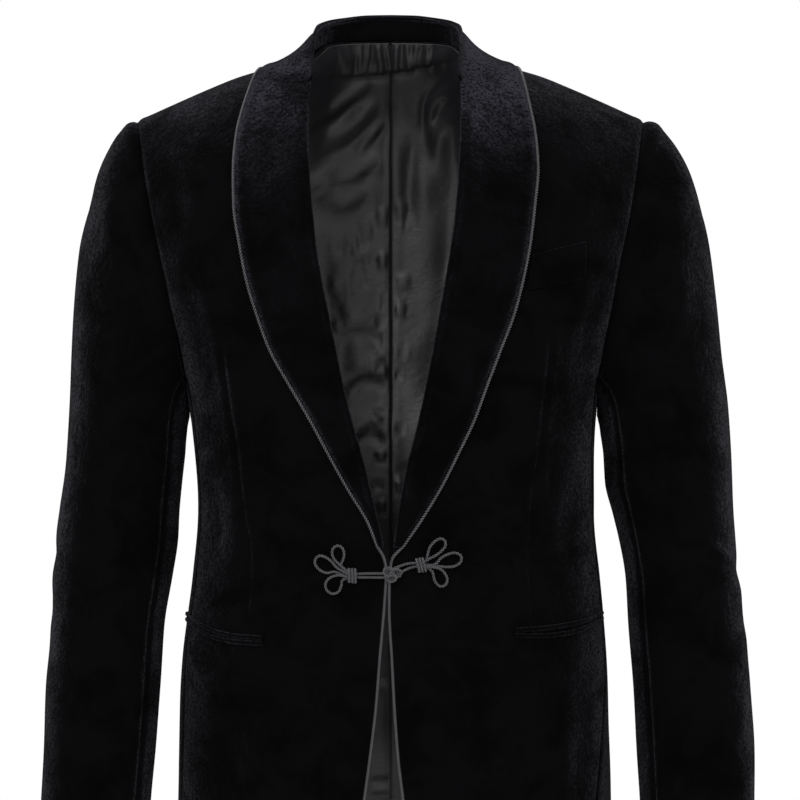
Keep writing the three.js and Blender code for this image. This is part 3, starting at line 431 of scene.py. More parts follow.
half_width = {side: curve(BODY, "z", side) for side in SIDES}
depth = {face: curve(BODY, "z", face) for face in ROUNDING}
ridge = curve(RIDGE, "x", "z")
back_neck = curve(BACK_NECK, "x", "z")
armhole_angle = {face: curve(ARMHOLE, "z", face) for face in ROUNDING}
front_seam = {side: curve(SIDE_SEAMS, "z", side) for side in SIDES}
back_seam = curve(SIDE_SEAMS, "z", "back")
front_cord = {side: curve(FRONT_CORD, "z", side) for side in SIDES}
roll_line = {side: curve(LAPEL, "roll_z", f"roll_{side}") for side in SIDES}


def surface_depth(side, face, x, z):
    """How far the body's form stands from the middle, in front or behind, at (x, z)."""
    across = np.clip(np.abs(x) / half_width[side](z), 0, 1)
    ring = (1 - across**RING_POWER) ** (1 / RING_POWER)
    below = np.clip((ridge(np.abs(x)) - z) / ROUNDING[face], 0, 1)
    return depth[face](z) * ring * np.sqrt(1 - (1 - below) ** 2)


def body_points(side, face, x, z):
    x, z = np.broadcast_arrays(np.asarray(x, float), np.asarray(z, float))
    y = surface_depth(side, face, x, z) * (-1 if face == "front" else 1)
    return np.stack([x, y, z], -1)


def body_normals(side, face, points):
    """Outward direction of the form, from the slope of its implicit equation."""
    x, y, z = np.moveaxis(points, -1, 0)
    nudge = 0.05

    def level(x, y, z):
        return y * y - surface_depth(side, face, x, z) ** 2

    slope = [
        level(x + nudge, y, z) - level(x - nudge, y, z),
        level(x, y + nudge, z) - level(x, y - nudge, z),
        level(x, y, z + nudge) - level(x, y, z - nudge),
    ]
    return unit(np.stack(slope, -1))


def on_body(side, face, x, z, lift):
    points = body_points(side, face, x, z)
    return points + body_normals(side, face, points) * np.asarray(lift)[..., None]


def ring_width(side, angle, z):
    return half_width[side](z) * np.cos(np.radians(angle)) ** (2 / RING_POWER)


def on_shoulder(side, x, y, lift):
    """A place (x, y) on top of the shoulder, moved out by lift."""
    face = "front" if y < 0 else "back"
    z = float(ridge(abs(x)))
    for _ in range(6):
        across = (1 - (abs(x) / half_width[side](z)) ** RING_POWER) ** (1 / RING_POWER)
        turn = min(abs(y) / (depth[face](z) * across), 1)
        z = float(ridge(abs(x))) - ROUNDING[face] * (1 - math.sqrt(1 - turn * turn))
    point = np.array([x, y, z], float)
    return point + body_normals(side, face, point) * lift


def armhole_height(turn):
    top = ridge(SHOULDER_END)
    return (top + UNDERARM) / 2 + (top - UNDERARM) / 2 * np.cos(np.radians(turn))


def armhole_points(side, turns):
    """Points of the armhole's seam at turns round it, eased to the shoulder's end at the top."""
    turns = (np.asarray(turns, float) + 180) % 360 - 180
    z = armhole_height(turns)
    face_points = []
    for face in ("front", "back"):
        width = np.minimum(ring_width(side, armhole_angle[face](z), z), SHOULDER_END)
        at_tip = 1 - smooth(np.abs(turns), 0, 14)
        x = SIDES[side] * mix(width, SHOULDER_END, at_tip)
        face_points.append(body_points(side, face, x, z))
    return np.where((turns > 0)[..., None], *face_points)


def front_edge(side, z):
    """Inner edge of a front: corded edge below the closure, roll line above, then the neck point."""
    cord = front_cord[side](z) + SIDES[side] * (CORD_RADIUS + CORD_GAP)
    roll = mix(roll_line[side](z) + ROLL_CLEARANCE, NECK_EDGE, smooth(z, *NECK_EASE))
    return mix(cord, SIDES[side] * roll, smooth(z, CLOSURE, EDGE_TURN_TOP))


def back_top(x):
    """Top line of the back: neckline as far as the shoulder seam, then the ridge."""
    return np.where(x < BACK_NECK["x"][-1], back_neck(x), ridge(x))


def even_shares(count, crowded=0.5):
    """Shares from 0 to 1 that stand closer together near both ends."""
    plain = np.linspace(0, 1, count)
    return mix(plain, (1 - np.cos(np.pi * plain)) / 2, crowded)


def panel_places(side, fineness, inner_x, outer_seam, first_turn, top_x, top_z, hem=HEM):
    """Rows of (x, z) of a front or back: level ones, then a fan from the armhole to the shoulder."""
    across, level_count, fan_count = fineness
    shares = even_shares(across)
    start = float(armhole_height(first_turn))
    z = np.linspace(hem, start, level_count)
    outer = SIDES[side] * ring_width(side, outer_seam(z), z)
    x = mix(inner_x(z)[:, None], outer[:, None], shares)
    low = np.stack([x, np.repeat(z[:, None], across, 1)], -1)
    turns = np.linspace(first_turn, 0, fan_count + 1)[1:]
    outer = armhole_points(side, turns)
    climb = (outer[:, 2] - start) / (float(ridge(SHOULDER_END)) - start)
    inner_z = mix(start, float(top_z(abs(top_x))), climb)
    top = top_z(np.abs(mix(top_x, SIDES[side] * SHOULDER_END, shares)))
    x = mix(inner_x(inner_z)[:, None], outer[:, 0][:, None], shares)
    z = mix(start, top[None, :], climb[:, None])
    return np.concatenate([low, np.stack([x, z], -1)])


def smooth_line(points, count):
    """Centripetal curve through the points, with this many samples in each stretch."""
    points = np.asarray(points, float)
    padded = np.concatenate([[2 * points[0] - points[1]], points, [2 * points[-1] - points[-2]]])
    share = np.linspace(0, 1, count, endpoint=False)[:, None]
    pieces = []
    for p0, p1, p2, p3 in zip(padded, padded[1:], padded[2:], padded[3:]):
        t1 = max(np.linalg.norm(p1 - p0), 1e-6) ** 0.5
        t2 = t1 + max(np.linalg.norm(p2 - p1), 1e-6) ** 0.5
        t3 = t2 + max(np.linalg.norm(p3 - p2), 1e-6) ** 0.5
        t = mix(t1, t2, share)
        a1 = mix(p0, p1, t / t1)
        a2 = mix(p1, p2, (t - t1) / (t2 - t1))
        a3 = mix(p2, p3, (t - t2) / (t3 - t2))
        b1 = mix(a1, a2, t / t2)
        b2 = mix(a2, a3, (t - t1) / (t3 - t1))
        pieces.append(mix(b1, b2, (t - t1) / (t2 - t1)))
    return np.concatenate([*pieces, points[-1:]])


def evenly_spaced(line, spacing):
    length = np.concatenate([[0], np.cumsum(np.linalg.norm(np.diff(line, axis=0), axis=1))])
    at = np.linspace(0, length[-1], max(int(length[-1] / spacing), 2) + 1)
    return np.stack([np.interp(at, length, line[:, k]) for k in range(line.shape[1])], -1)


def fold_depths(places, folds):
    """How far a list of folds moves each place out (above 0) or in (below 0)."""
    total = np.zeros(places.shape[:-1])
    flat = places.reshape(-1, 2)
    for one in folds:
        line = smooth_line(one["route"], 24)
        reach = 4 * one["width"]
        near = np.all((flat > line.min(0) - reach) & (flat < line.max(0) + reach), axis=1)
        offset = flat[near][:, None, :] - line
        squared = (offset**2).sum(-1)
        closest = squared.argmin(1)
        distance = np.sqrt(squared[np.arange(len(closest)), closest])
        way = unit(np.gradient(line, axis=0))[closest]
        beside = offset[np.arange(len(closest)), closest]
        hand = np.sign(way[:, 0] * beside[:, 1] - way[:, 1] * beside[:, 0])
        ends = np.sin(np.pi * closest / (len(line) - 1)) ** 0.7
        trough = bump(distance, one["width"])
        rise = bump(hand * distance - 1.8 * one["width"], 1.3 * one["width"])
        total.reshape(-1)[near] += one["depth"] * ends * (one["lean"] * rise - trough)
    return total


def dart_depths(places, route):
    """A sewn dart: a fine groove, with the cloth a little fuller on both sides of it."""
    line = smooth_line(route, 30)
    flat = places.reshape(-1, 2)
    squared = ((flat[:, None, :] - line) ** 2).sum(-1)
    closest = squared.argmin(1)
    distance = np.sqrt(squared.min(1))
    along = closest / (len(line) - 1)
    ends = smooth(along, 0, 0.1)
    inside = (closest > 0) & (closest < len(line) - 1)
    groove = -1.3 * bump(distance, 1.7) + 0.5 * bump(distance - 5, 3.5)
    return (groove * ends * inside).reshape(places.shape[:-1])


def edge_distances(points):
    """Distance of each point of a grid from its first column, last column, first row and last row."""
    across = np.linalg.norm(np.diff(points, axis=1), axis=2)
    along = np.linalg.norm(np.diff(points, axis=0), axis=2)
    first = np.pad(np.cumsum(across, 1), ((0, 0), (1, 0)))
    bottom = np.pad(np.cumsum(along, 0), ((1, 0), (0, 0)))
    return {"first": first, "last": first[:, -1:] - first, "bottom": bottom, "top": bottom[-1:] - bottom}


def seam_depths(points, borders, depth=1.1, width=1.8, fullness=0.4):
    """Sewn borders dip into the seam, with the cloth a little fuller just beside it."""
    distance = edge_distances(points)
    total = np.zeros(points.shape[:-1])
    for border in borders:
        total += -depth * bump(distance[border], width) + fullness * bump(distance[border] - 6, 4)
    return total


def waves(points, size, height, seed):
    """Slow, uneven swelling of the cloth, from a few seeded waves."""
    random = np.random.default_rng(seed)
    total = np.zeros(points.shape[:-1])
    for _ in range(7):
        way = unit(random.normal(size=3))
        length = size * random.uniform(0.7, 1.6)
        total += np.sin(points @ way * 2 * np.pi / length + random.uniform(0, 2 * np.pi))
    return height * total / 7


def away_from(points, borders, reach=22):
    """0 on sewn borders and 1 well away from them, so that neighbouring pieces meet."""
    distance = edge_distances(points)
    share = np.ones(points.shape[:-1])
    for border in borders:
        share = share * smooth(distance[border], 0, reach)
    return share


def grid_normals(points, outward):
    """Directions of a grid of points from its neighbours, facing the way outward does."""
    across = np.gradient(points, axis=1)
    along = np.gradient(points, axis=0)
    normals = unit(np.cross(across, along))
    return normals * (1 if (normals * outward).sum() > 0 else -1)


def add_mesh(name, vertices, faces, materials, face_materials=None):
    mesh = bpy.data.meshes.new(name)
    mesh.from_pydata((np.asarray(vertices) * MM).tolist(), [], faces)
    for material in materials:
        mesh.materials.append(material)
    if face_materials is not None:
        mesh.polygons.foreach_set("material_index", face_materials)
    mesh.polygons.foreach_set("use_smooth", np.ones(len(mesh.polygons), bool))
    mesh.update()
    piece = bpy.data.objects.new(name, mesh)
    bpy.context.scene.collection.objects.link(piece)
    return piece


RIM_ANGLES = np.radians([45, 90, 135])
END_ANGLES = np.radians([18, 42, 72])


def cloth_wall(name, points, normals, thickness, materials, inside=None):
    """A closed wall of cloth with rounded edges: outer points, and the same moved in by its thickness."""
    rows, columns = points.shape[:2]
    half = np.broadcast_to(np.asarray(thickness, float), (rows, columns))[..., None] / 2
    middle = points - normals * half
    first_out = unit(points[:, 0] - points[:, 1])
    last_out = unit(points[:, -1] - points[:, -2])

    def ring(i, angle, way):
        squeeze = math.cos(angle)
        centre = middle[i] + way * half[i] * math.sin(angle)
        up = normals[i] * half[i] * squeeze
        side = half[i] * squeeze
        last = [centre[-1] + up[-1] * math.cos(a) + last_out[i] * side[-1] * math.sin(a) for a in RIM_ANGLES]
        first = [centre[0] + up[0] * math.cos(a) + first_out[i] * side[0] * math.sin(a) for a in RIM_ANGLES[::-1]]
        return np.concatenate([centre + up, last, (centre - up)[::-1], first])

    bottom = unit(points[0] - points[1])
    top = unit(points[-1] - points[-2])
    rings = [ring(0, angle, bottom) for angle in END_ANGLES[::-1]]
    rings += [ring(i, 0, bottom) for i in range(rows)]
    rings += [ring(-1, angle, top) for angle in END_ANGLES]
    vertices = np.array(rings)
    around = vertices.shape[1]
    rims = len(RIM_ANGLES)
    index = np.arange(len(rings) * around).reshape(len(rings), around)
    after = np.roll(index, -1, axis=1)
    faces = np.stack([index[:-1], after[:-1], after[1:], index[1:]], -1).reshape(-1, 4)
    inner = np.arange(around)
    inner = (inner >= columns + rims) & (inner < 2 * columns + rims - 1)
    picks = np.zeros((len(rings) - 1, around), int)
    if inside is not None:
        start = len(END_ANGLES)
        picks[start:start + rows - 1, inner] = inside[:-1, ::-1][:, 1:]
    picks = picks.reshape(-1)
    flat = vertices.reshape(-1, 3)
    a, b, c, d = (flat[faces[:, k]] for k in range(4))
    volume = (a * np.cross(b, c)).sum() + (a * np.cross(c, d)).sum()
    faces = faces.tolist()
    for ends, flip in ((index[0], True), (index[-1], False)):
        outer_row = ends[:columns]
        inner_row = ends[columns + rims:2 * columns + rims][::-1]
        caps = [[outer_row[j], outer_row[j + 1], inner_row[j + 1], inner_row[j]] for j in range(columns - 1)]
        caps.append([outer_row[-1], *ends[columns:columns + rims], inner_row[-1]])
        caps.append([inner_row[0], *ends[2 * columns + rims:], outer_row[0]])
        faces += [[int(k) for k in (cap[::-1] if flip else cap)] for cap in caps]
    if volume < 0:
        faces = [face[::-1] for face in faces]
    picks = np.concatenate([picks, np.zeros(len(faces) - len(picks), int)])
    return add_mesh(name, flat, faces, materials, picks)


def frames_along(line):
    """Two directions across a line at each point, carried along it without twisting."""
    ahead = unit(np.gradient(line, axis=0))
    side = unit(np.cross(ahead[0], [0.3, 0.2, 1.0]))
    sides = []
    for way in ahead:
        side = unit(side - way * (side @ way))
        sides.append(side)
    sides = np.array(sides)
    return sides, np.cross(ahead, sides)


def strand_faces(count, sides, start):
    index = start + np.arange(count * sides).reshape(count, sides)
    after = np.roll(index, -1, axis=1)
    faces = np.stack([index[:-1], after[:-1], after[1:], index[1:]], -1).reshape(-1, 4).tolist()
    return faces + [index[0][::-1].tolist(), index[-1].tolist()]


def add_cord(name, lines, radius, material, spacing=0.75, sides=6):
    """Two-ply twisted cord along each line, all in one mesh."""
    ply_radius = radius * 0.54
    ply_offset = radius * 0.54
    vertices = []
    faces = []
    for line in lines:
        line = evenly_spaced(np.asarray(line, float), spacing)
        first, second = frames_along(line)
        turn = np.arange(len(line)) * spacing * 2 * np.pi / CORD_PITCH
        around = np.linspace(0, 2 * np.pi, sides, endpoint=False)
        for ply in (0, np.pi):
            way = first * np.cos(turn + ply)[:, None] + second * np.sin(turn + ply)[:, None]
            across = -first * np.sin(turn + ply)[:, None] + second * np.cos(turn + ply)[:, None]
            ring = way[:, None] * np.cos(around)[:, None] + across[:, None] * np.sin(around)[:, None]
            tube = (line + way * ply_offset)[:, None] + ring * ply_radius
            faces += strand_faces(len(line), sides, sum(len(v) for v in vertices))
            vertices.append(tube.reshape(-1, 3))
    return add_mesh(name, np.concatenate(vertices), faces, [material])


# Materials

def linear(colour):
    """A colour from sRGB hex to linear values."""
    parts = [int(colour[k:k + 2], 16) / 255 for k in (1, 3, 5)]
    return tuple(p / 12.92 if p <= 0.04045 else ((p + 0.055) / 1.055) ** 2.4 for p in parts) + (1.0,)


def add_node(tree, kind, inputs=None, **settings):
    """A node with its settings; an input is a value, or the output that it is linked from."""
    node = tree.nodes.new(kind)
    for name, value in settings.items():
        setattr(node, name, value)
    for socket, value in (inputs or {}).items():
        if isinstance(value, bpy.types.NodeSocket):
            tree.links.new(value, node.inputs[socket])
        else:
            node.inputs[socket].default_value = value
    return node


def new_material(name):
    material = bpy.data.materials.new(name)
    material.use_nodes = True
    material.node_tree.nodes.clear()
    return material, material.node_tree


def per_mm(size):
    """Texture scale for a pattern of this size in millimetres."""
    return 1 / (size * MM)


def cotton_velvet(name, sheen_starts, sheen_full, grey):
    # Cotton velvet, woven double and cut: its upright fibres swallow light that meets them head on. Its grey,
    # faintly blue sheen where the surface turns away is painted into the base colour, and this painted sheen
    # leans in cloudy patches where the velvet was brushed.
    material, tree = new_material(name)
    place = add_node(tree, "ShaderNodeTexCoord").outputs["Object"]
    clouds = add_node(tree, "ShaderNodeTexNoise", {"Vector": place, "Scale": per_mm(46), "Detail": 5.0,
                                                   "Roughness": 0.62, "Distortion": 0.5})
    patches = add_node(tree, "ShaderNodeTexNoise", {"Vector": place, "Scale": per_mm(11), "Detail": 3.0,
                                                    "Roughness": 0.6, "Distortion": 0.3})
    # Tufts stand about 0.4 mm apart and are drawn at 2.4 mm, so that they show at this distance
    tufts = add_node(tree, "ShaderNodeTexNoise", {"Vector": place, "Scale": per_mm(2.4), "Detail": 2.5})
    brushed = add_node(tree, "ShaderNodeBump", {"Height": clouds.outputs["Fac"], "Strength": 0.5,
                                                "Distance": 5.0 * MM})
    ruffled = add_node(tree, "ShaderNodeBump", {"Height": patches.outputs["Fac"], "Strength": 0.5,
                                                "Distance": 1.6 * MM, "Normal": brushed.outputs["Normal"]})
    tufted = add_node(tree, "ShaderNodeBump", {"Height": tufts.outputs["Fac"], "Strength": 0.6,
                                               "Distance": 0.45 * MM, "Normal": ruffled.outputs["Normal"]})
    # Painted sheen: the base colour is mixed toward grey where the surface turns away from the view,
    # then darkened again at the very outline as a painted dark rim
    turned = add_node(tree, "ShaderNodeLayerWeight", {"Blend": 0.5, "Normal": tufted.outputs["Normal"]})
    sides = add_node(tree, "ShaderNodeMapRange", {"Value": turned.outputs["Facing"], "From Min": sheen_starts,
                                                  "From Max": sheen_full}, interpolation_type="SMOOTHSTEP")
    # Painted dark rim: at the outline the painted sheen falls back toward the dark base colour
    painted_outline_darkening = add_node(tree, "ShaderNodeMapRange", {"Value": turned.outputs["Facing"], "From Min": 0.74,
                                                 "From Max": 0.94, "To Min": 1.0, "To Max": 0.12})
    lean = add_node(tree, "ShaderNodeMapRange", {"Value": clouds.outputs["Fac"], "From Min": 0.36,
                                                 "From Max": 0.66, "To Min": 0.3, "To Max": 1.3})
    specks = add_node(tree, "ShaderNodeMapRange", {"Value": tufts.outputs["Fac"], "From Min": 0.34,
                                                   "From Max": 0.66, "To Min": 0.15, "To Max": 1.9})
    leaning_painted_sheen = add_node(tree, "ShaderNodeMath", {0: sides.outputs["Result"], 1: lean.outputs["Result"]},
                       operation="MULTIPLY")
    painted_sheen_shown = add_node(tree, "ShaderNodeMath", {0: leaning_painted_sheen.outputs[0], 1: painted_outline_darkening.outputs["Result"]},
                     operation="MULTIPLY")
    painted_sheen_speckled = add_node(tree, "ShaderNodeMath", {0: painted_sheen_shown.outputs[0], 1: specks.outputs["Result"]},
                        operation="MULTIPLY")
    deep = add_node(tree, "ShaderNodeMix", {0: lean.outputs["Result"], 6: linear("#020202"),
                                            7: linear("#060607")}, data_type="RGBA")
    # Base colour: the velvet's own near-black, mixed toward the grey of the painted sheen
    pile_colour_and_painted_sheen = add_node(tree, "ShaderNodeMix", {0: painted_sheen_speckled.outputs[0], 6: deep.outputs[2],
                                            7: linear(grey)}, data_type="RGBA")
    shader = add_node(tree, "ShaderNodeBsdfPrincipled", {
        "Base Color": pile_colour_and_painted_sheen.outputs[2], "Roughness": 1.0, "IOR": 1.46, "Specular IOR Level": 0.02,
        "Sheen Weight": 0.015, "Sheen Roughness": 0.4, "Sheen Tint": linear("#a9a9b4"),
        "Normal": tufted.outputs["Normal"]})
    add_node(tree, "ShaderNodeOutputMaterial", {"Surface": shader.outputs["BSDF"]})
    return material


def satin_lining():
    # Viscose satin lining, woven with long floats: a soft gloss that catches every fold, charcoal with a
    # faint violet cast in its shadows.
    material, tree = new_material("charcoal_viscose_satin")
    place = add_node(tree, "ShaderNodeTexCoord").outputs["Object"]
    shade = add_node(tree, "ShaderNodeTexNoise", {"Vector": place, "Scale": per_mm(60), "Detail": 3.0})
    level = add_node(tree, "ShaderNodeMapping", {"Vector": place, "Scale": (1.0, 1.0, 1.7)})
    crinkle = add_node(tree, "ShaderNodeTexNoise", {"Vector": level.outputs["Vector"], "Scale": per_mm(9),
                                                    "Detail": 3.0, "Distortion": 0.8})
    # Floats are about 0.2 mm long and are drawn at 0.8 mm
    floats = add_node(tree, "ShaderNodeTexNoise", {"Vector": level.outputs["Vector"], "Scale": per_mm(0.8)})
    cloth = add_node(tree, "ShaderNodeMix", {0: shade.outputs["Fac"], 6: linear("#121014"),
                                             7: linear("#1f1e20")}, data_type="RGBA")
    soft = add_node(tree, "ShaderNodeBump", {"Height": crinkle.outputs["Fac"], "Strength": 0.3,
                                             "Distance": 1.0 * MM})
    fine = add_node(tree, "ShaderNodeBump", {"Height": floats.outputs["Fac"], "Strength": 0.25,
                                             "Distance": 0.15 * MM, "Normal": soft.outputs["Normal"]})
    gloss = add_node(tree, "ShaderNodeMapRange", {"Value": crinkle.outputs["Fac"], "To Min": 0.34,
                                                  "To Max": 0.46})
    shader = add_node(tree, "ShaderNodeBsdfPrincipled", {
        "Base Color": cloth.outputs[2], "Roughness": gloss.outputs["Result"], "IOR": 1.5,
        "Specular IOR Level": 0.56, "Sheen Weight": 0.04, "Sheen Roughness": 0.4,
        "Sheen Tint": linear("#b9b4c4"), "Normal": fine.outputs["Normal"]})
    add_node(tree, "ShaderNodeOutputMaterial", {"Surface": shader.outputs["BSDF"]})
    return material


def rayon_cord():
    # Rayon cord, two plies twisted: grey, silky on the crowns of the plies and dull between them.
    material, tree = new_material("grey_twisted_rayon_cord")
    place = add_node(tree, "ShaderNodeTexCoord").outputs["Object"]
    dye = add_node(tree, "ShaderNodeTexNoise", {"Vector": place, "Scale": per_mm(5), "Detail": 2.0})
    # Yarns are about 0.3 mm thick and are drawn at 0.6 mm
    yarns = add_node(tree, "ShaderNodeTexNoise", {"Vector": place, "Scale": per_mm(0.6), "Detail": 1.0})
    colour = add_node(tree, "ShaderNodeMix", {0: dye.outputs["Fac"], 6: linear("#313133"),
                                              7: linear("#4e4e51")}, data_type="RGBA")
    fibres = add_node(tree, "ShaderNodeBump", {"Height": yarns.outputs["Fac"], "Strength": 0.5,
                                               "Distance": 0.2 * MM})
    shader = add_node(tree, "ShaderNodeBsdfPrincipled", {
        "Base Color": colour.outputs[2], "Roughness": 0.55, "IOR": 1.52, "Sheen Weight": 0.08,
        "Sheen Roughness": 0.4, "Sheen Tint": linear("#d0d0d6"), "Normal": fibres.outputs["Normal"]})
    add_node(tree, "ShaderNodeOutputMaterial", {"Surface": shader.outputs["BSDF"]})
    return material


def painted_floor():
    # Painted studio floor: pale, rolled on, with a faint unevenness.
    material, tree = new_material("pale_matt_floor_paint")
    place = add_node(tree, "ShaderNodeTexCoord").outputs["Object"]
    rolled = add_node(tree, "ShaderNodeTexNoise", {"Vector": place, "Scale": per_mm(40), "Detail": 4.0})
    colour = add_node(tree, "ShaderNodeMix", {0: rolled.outputs["Fac"], 6: linear("#e6e6e4"),
                                              7: linear("#ecebea")}, data_type="RGBA")
    shader = add_node(tree, "ShaderNodeBsdfPrincipled", {"Base Color": colour.outputs[2], "Roughness": 0.8})
    add_node(tree, "ShaderNodeOutputMaterial", {"Surface": shader.outputs["BSDF"]})
    return material


# Three copies of the velvet that differ only in their painted sheen: on the collar it starts sooner and is
# brighter, on the sleeves it starts later
VELVET = cotton_velvet("black_cotton_velvet", 0.17, 0.9, "#27272b")
COLLAR_VELVET = cotton_velvet("black_cotton_velvet_collar_brighter_painted_sheen", 0.0, 0.62, "#29292f")
SLEEVE_VELVET = cotton_velvet("black_cotton_velvet_sleeve_painted_sheen", 0.24, 0.84, "#28282c")
SATIN = satin_lining()
CORD = rayon_cord()


def finish_piece(piece, nodes):
    """The body that a piece rides on, and the nodes it stands for, which are hidden."""
    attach(piece, "root")
    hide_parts(*nodes)


# Cloth pieces

FACING_WIDTH = 80
HEM_TURNING = 28


def inside_cloth(points, edge_border):
    """1 where the inside shows lining, 0 where velvet is turned in at the hem or faces the front edge."""
    distance = edge_distances(points)
    lined = distance["bottom"] > HEM_TURNING
    if edge_border:
        lined &= distance[edge_border] > FACING_WIDTH
    return lined.astype(int)


def round_hem_corner(places):
    """The fronts' lower corners are cut round."""
    reach = np.clip(HEM_CORNER_RADIUS - np.abs(places[0, :, 0] - places[0, 0, 0]), 0, None)
    rise = HEM_CORNER_RADIUS - np.sqrt(HEM_CORNER_RADIUS**2 - reach**2)
    fade = 1 - smooth(places[:, :1, 1], HEM, HEM + 2.5 * HEM_CORNER_RADIUS)
    places[..., 1] += rise * fade


def add_front(side):
    def edge(z):
        return front_edge(side, z)

    top_x = SIDES[side] * NECK_EDGE
    places = panel_places(side, FINE["front"], edge, front_seam[side], FRONT_TURN, top_x, ridge)
    round_hem_corner(places)
    base = body_points(side, "front", places[..., 0], places[..., 1])
    out = body_normals(side, "front", base)
    relief = 1.3 * fold_depths(places, FRONT_FOLDS[side] + POCKET_PINCHES[side])
    relief += dart_depths(places, DARTS[side])
    relief += waves(base, 90, 0.9, 11 + SIDES[side])
    relief *= away_from(base, ["last", "top"])
    relief += seam_depths(base, ["last", "top"])
    relief *= smooth(edge_distances(base)["first"], -2, 14)
    points = base + out * relief[..., None]
    inside = inside_cloth(base, "first")
    piece = cloth_wall(f"velvet_front_{side}", points, grid_normals(points, out), VELVET_WALL,
                       [VELVET, SATIN], inside)
    finish_piece(piece, [f"front_{side}"])


def mirrored_folds(side):
    across, down = BACK_FOLD_SHIFT[side]
    return [
        fold([(SIDES[side] * (x + across), z + down) for x, z in one["route"]], one["width"], one["depth"])
        for one in BACK_FOLDS
    ]


def back_places(side, fineness, hem=HEM):
    def middle(z):
        return np.full_like(z, SIDES[side] * 0.2)

    return panel_places(side, fineness, middle, back_seam, BACK_TURN, SIDES[side] * 0.2, back_top, hem)


def add_back(side):
    places = back_places(side, FINE["back"])
    base = body_points(side, "back", places[..., 0], places[..., 1])
    out = body_normals(side, "back", base)
    relief = fold_depths(places, mirrored_folds(side)) + waves(base, 110, 0.9, 23 + SIDES[side])
    relief *= away_from(base, ["first", "last", "top"])
    relief += seam_depths(base, ["first", "last", "top"])
    points = base + out * relief[..., None]
    piece = cloth_wall(f"velvet_back_{side}", points, grid_normals(points, out), VELVET_WALL,
                       [VELVET, SATIN], inside_cloth(base, None))
    finish_piece(piece, [f"back_{side}"])


def pucker_depths(places):
    total = np.zeros(places.shape[:-1])
    x, z = places[..., 0], places[..., 1]
    for px, pz, reach, width, depth_mm in zip(*PUCKERS.values()):
        across = (x - px) / reach
        arch = (z - pz - 1.6 * np.cos(np.clip(across, -1, 1) * np.pi / 2)) / (0.62 * width)
        shape = bump(arch, 1) - 0.7 * bump(arch + 1.9, 1)
        total += depth_mm * shape * np.clip(1 - across**2, 0, 1)
    return total


def gather_depths(places):
    """Little upright gathers below the neck seam, which die out downwards."""
    x, z = places[..., 0], places[..., 1]
    total = np.zeros(places.shape[:-1])
    fade = smooth(z, GATHER_TOP - GATHER_LENGTH, GATHER_TOP - 14)
    for at, width, depth_mm in zip(*GATHERS.values()):
        slant = at + (GATHER_TOP - z) * 0.25 * np.sin(at)
        total += depth_mm * (bump(x - slant, width) - 0.5 * bump(x - slant - 2 * width, width))
    return total * fade


def add_lining(side):
    places = back_places(side, FINE["lining"], HEM + LINING_ABOVE_HEM)
    places[..., 0] = mix(places[:, :1, 0], places[:, -1:, 0], 0.97 * even_shares(places.shape[1])[None, :])
    base = body_points(side, "back", places[..., 0], places[..., 1])
    out = body_normals(side, "back", base)
    distance = edge_distances(base)
    sewn = np.minimum(distance["top"], distance["bottom"])
    drop = mix(2.7, 7.5, smooth(sewn, 0, 16))
    relief = 1.3 * fold_depths(places, LINING_FOLDS)
    relief += 2.3 * pucker_depths(places) + 1.5 * gather_depths(places)
    relief += 0.7 * np.exp(-distance["top"] / 12) * smooth(distance["top"], 0, 5)
    relief += seam_depths(base, ["first"], depth=0.8, width=0.7, fullness=0.3)
    relief += waves(base, 60, 1.5, 31) + waves(base, 24, 0.4, 41)
    relief *= smooth(sewn, -1, 3)
    points = base - out * (drop + np.clip(relief, -3.4, 5.2))[..., None]
    piece = cloth_wall(f"satin_lining_back_{side}", points, grid_normals(points, out), LINING_WALL, [SATIN])
    finish_piece(piece, [f"lining_back_{side}"])


def add_side_panel(side):
    across, along = FINE["side"]
    shares = even_shares(across)
    turns = mix(FRONT_TURN, 360 + BACK_TURN, shares)
    top = armhole_points(side, turns)
    climb = np.linspace(0, 1, along)[:, None]
    z = mix(HEM, top[None, :, 2], climb)
    angle = mix(front_seam[side](z), -back_seam(z), shares)
    x = SIDES[side] * ring_width(side, np.abs(angle), z)
    ring = np.where((angle > 0)[..., None], body_points(side, "front", x, z), body_points(side, "back", x, z))
    near_top = smooth(climb, 0.9, 1.0)[..., None]
    base = mix(ring, np.broadcast_to(top, ring.shape), near_top)
    out = np.where((base[..., 1] < 0)[..., None], body_normals(side, "front", base),
                   body_normals(side, "back", base))
    relief = waves(base, 80, 0.8, 51 + SIDES[side]) * away_from(base, ["first", "last", "top"], 14)
    relief += seam_depths(base, ["first", "last", "top"])
    points = base + out * relief[..., None]
    piece = cloth_wall(f"velvet_side_{side}", points, grid_normals(points, out), VELVET_WALL,
                       [VELVET, SATIN], inside_cloth(base, None))
    finish_piece(piece, [f"side_{side}"])


def sleeve_grid(side, turns, along):
    """Sleeve sections between their outer and inner points, eased into the armhole's own shape."""
    knots = {"at": np.arange(len(SLEEVE["y"]), dtype=float)}
    rows = {name: curve({**knots, name: column}, "at", name)(along) for name, column in SLEEVE.items()}
    toward_outer = (1 + np.cos(np.radians(turns))) / 2
    sink = np.sin(np.radians(turns))
    x = SIDES[side] * mix(rows[f"inner_{side}"][:, None], rows[f"outer_{side}"][:, None], toward_outer)
    z = mix(rows["inner_z"][:, None], rows["outer_z"][:, None], toward_outer)
    y = rows["y"][:, None] - rows["depth"][:, None] * sink
    points = np.stack([x, y, z], -1)
    first = {name: column[0] for name, column in SLEEVE.items()}
    plain = np.stack([
        SIDES[side] * mix(first[f"inner_{side}"], first[f"outer_{side}"], toward_outer),
        first["y"] - first["depth"] * sink,
        armhole_height(turns),
    ], -1)
    ease = armhole_points(side, turns) - plain
    return points + ease[None] * rows["armhole"][:, None, None]


HEAD_ROLL = 1.1


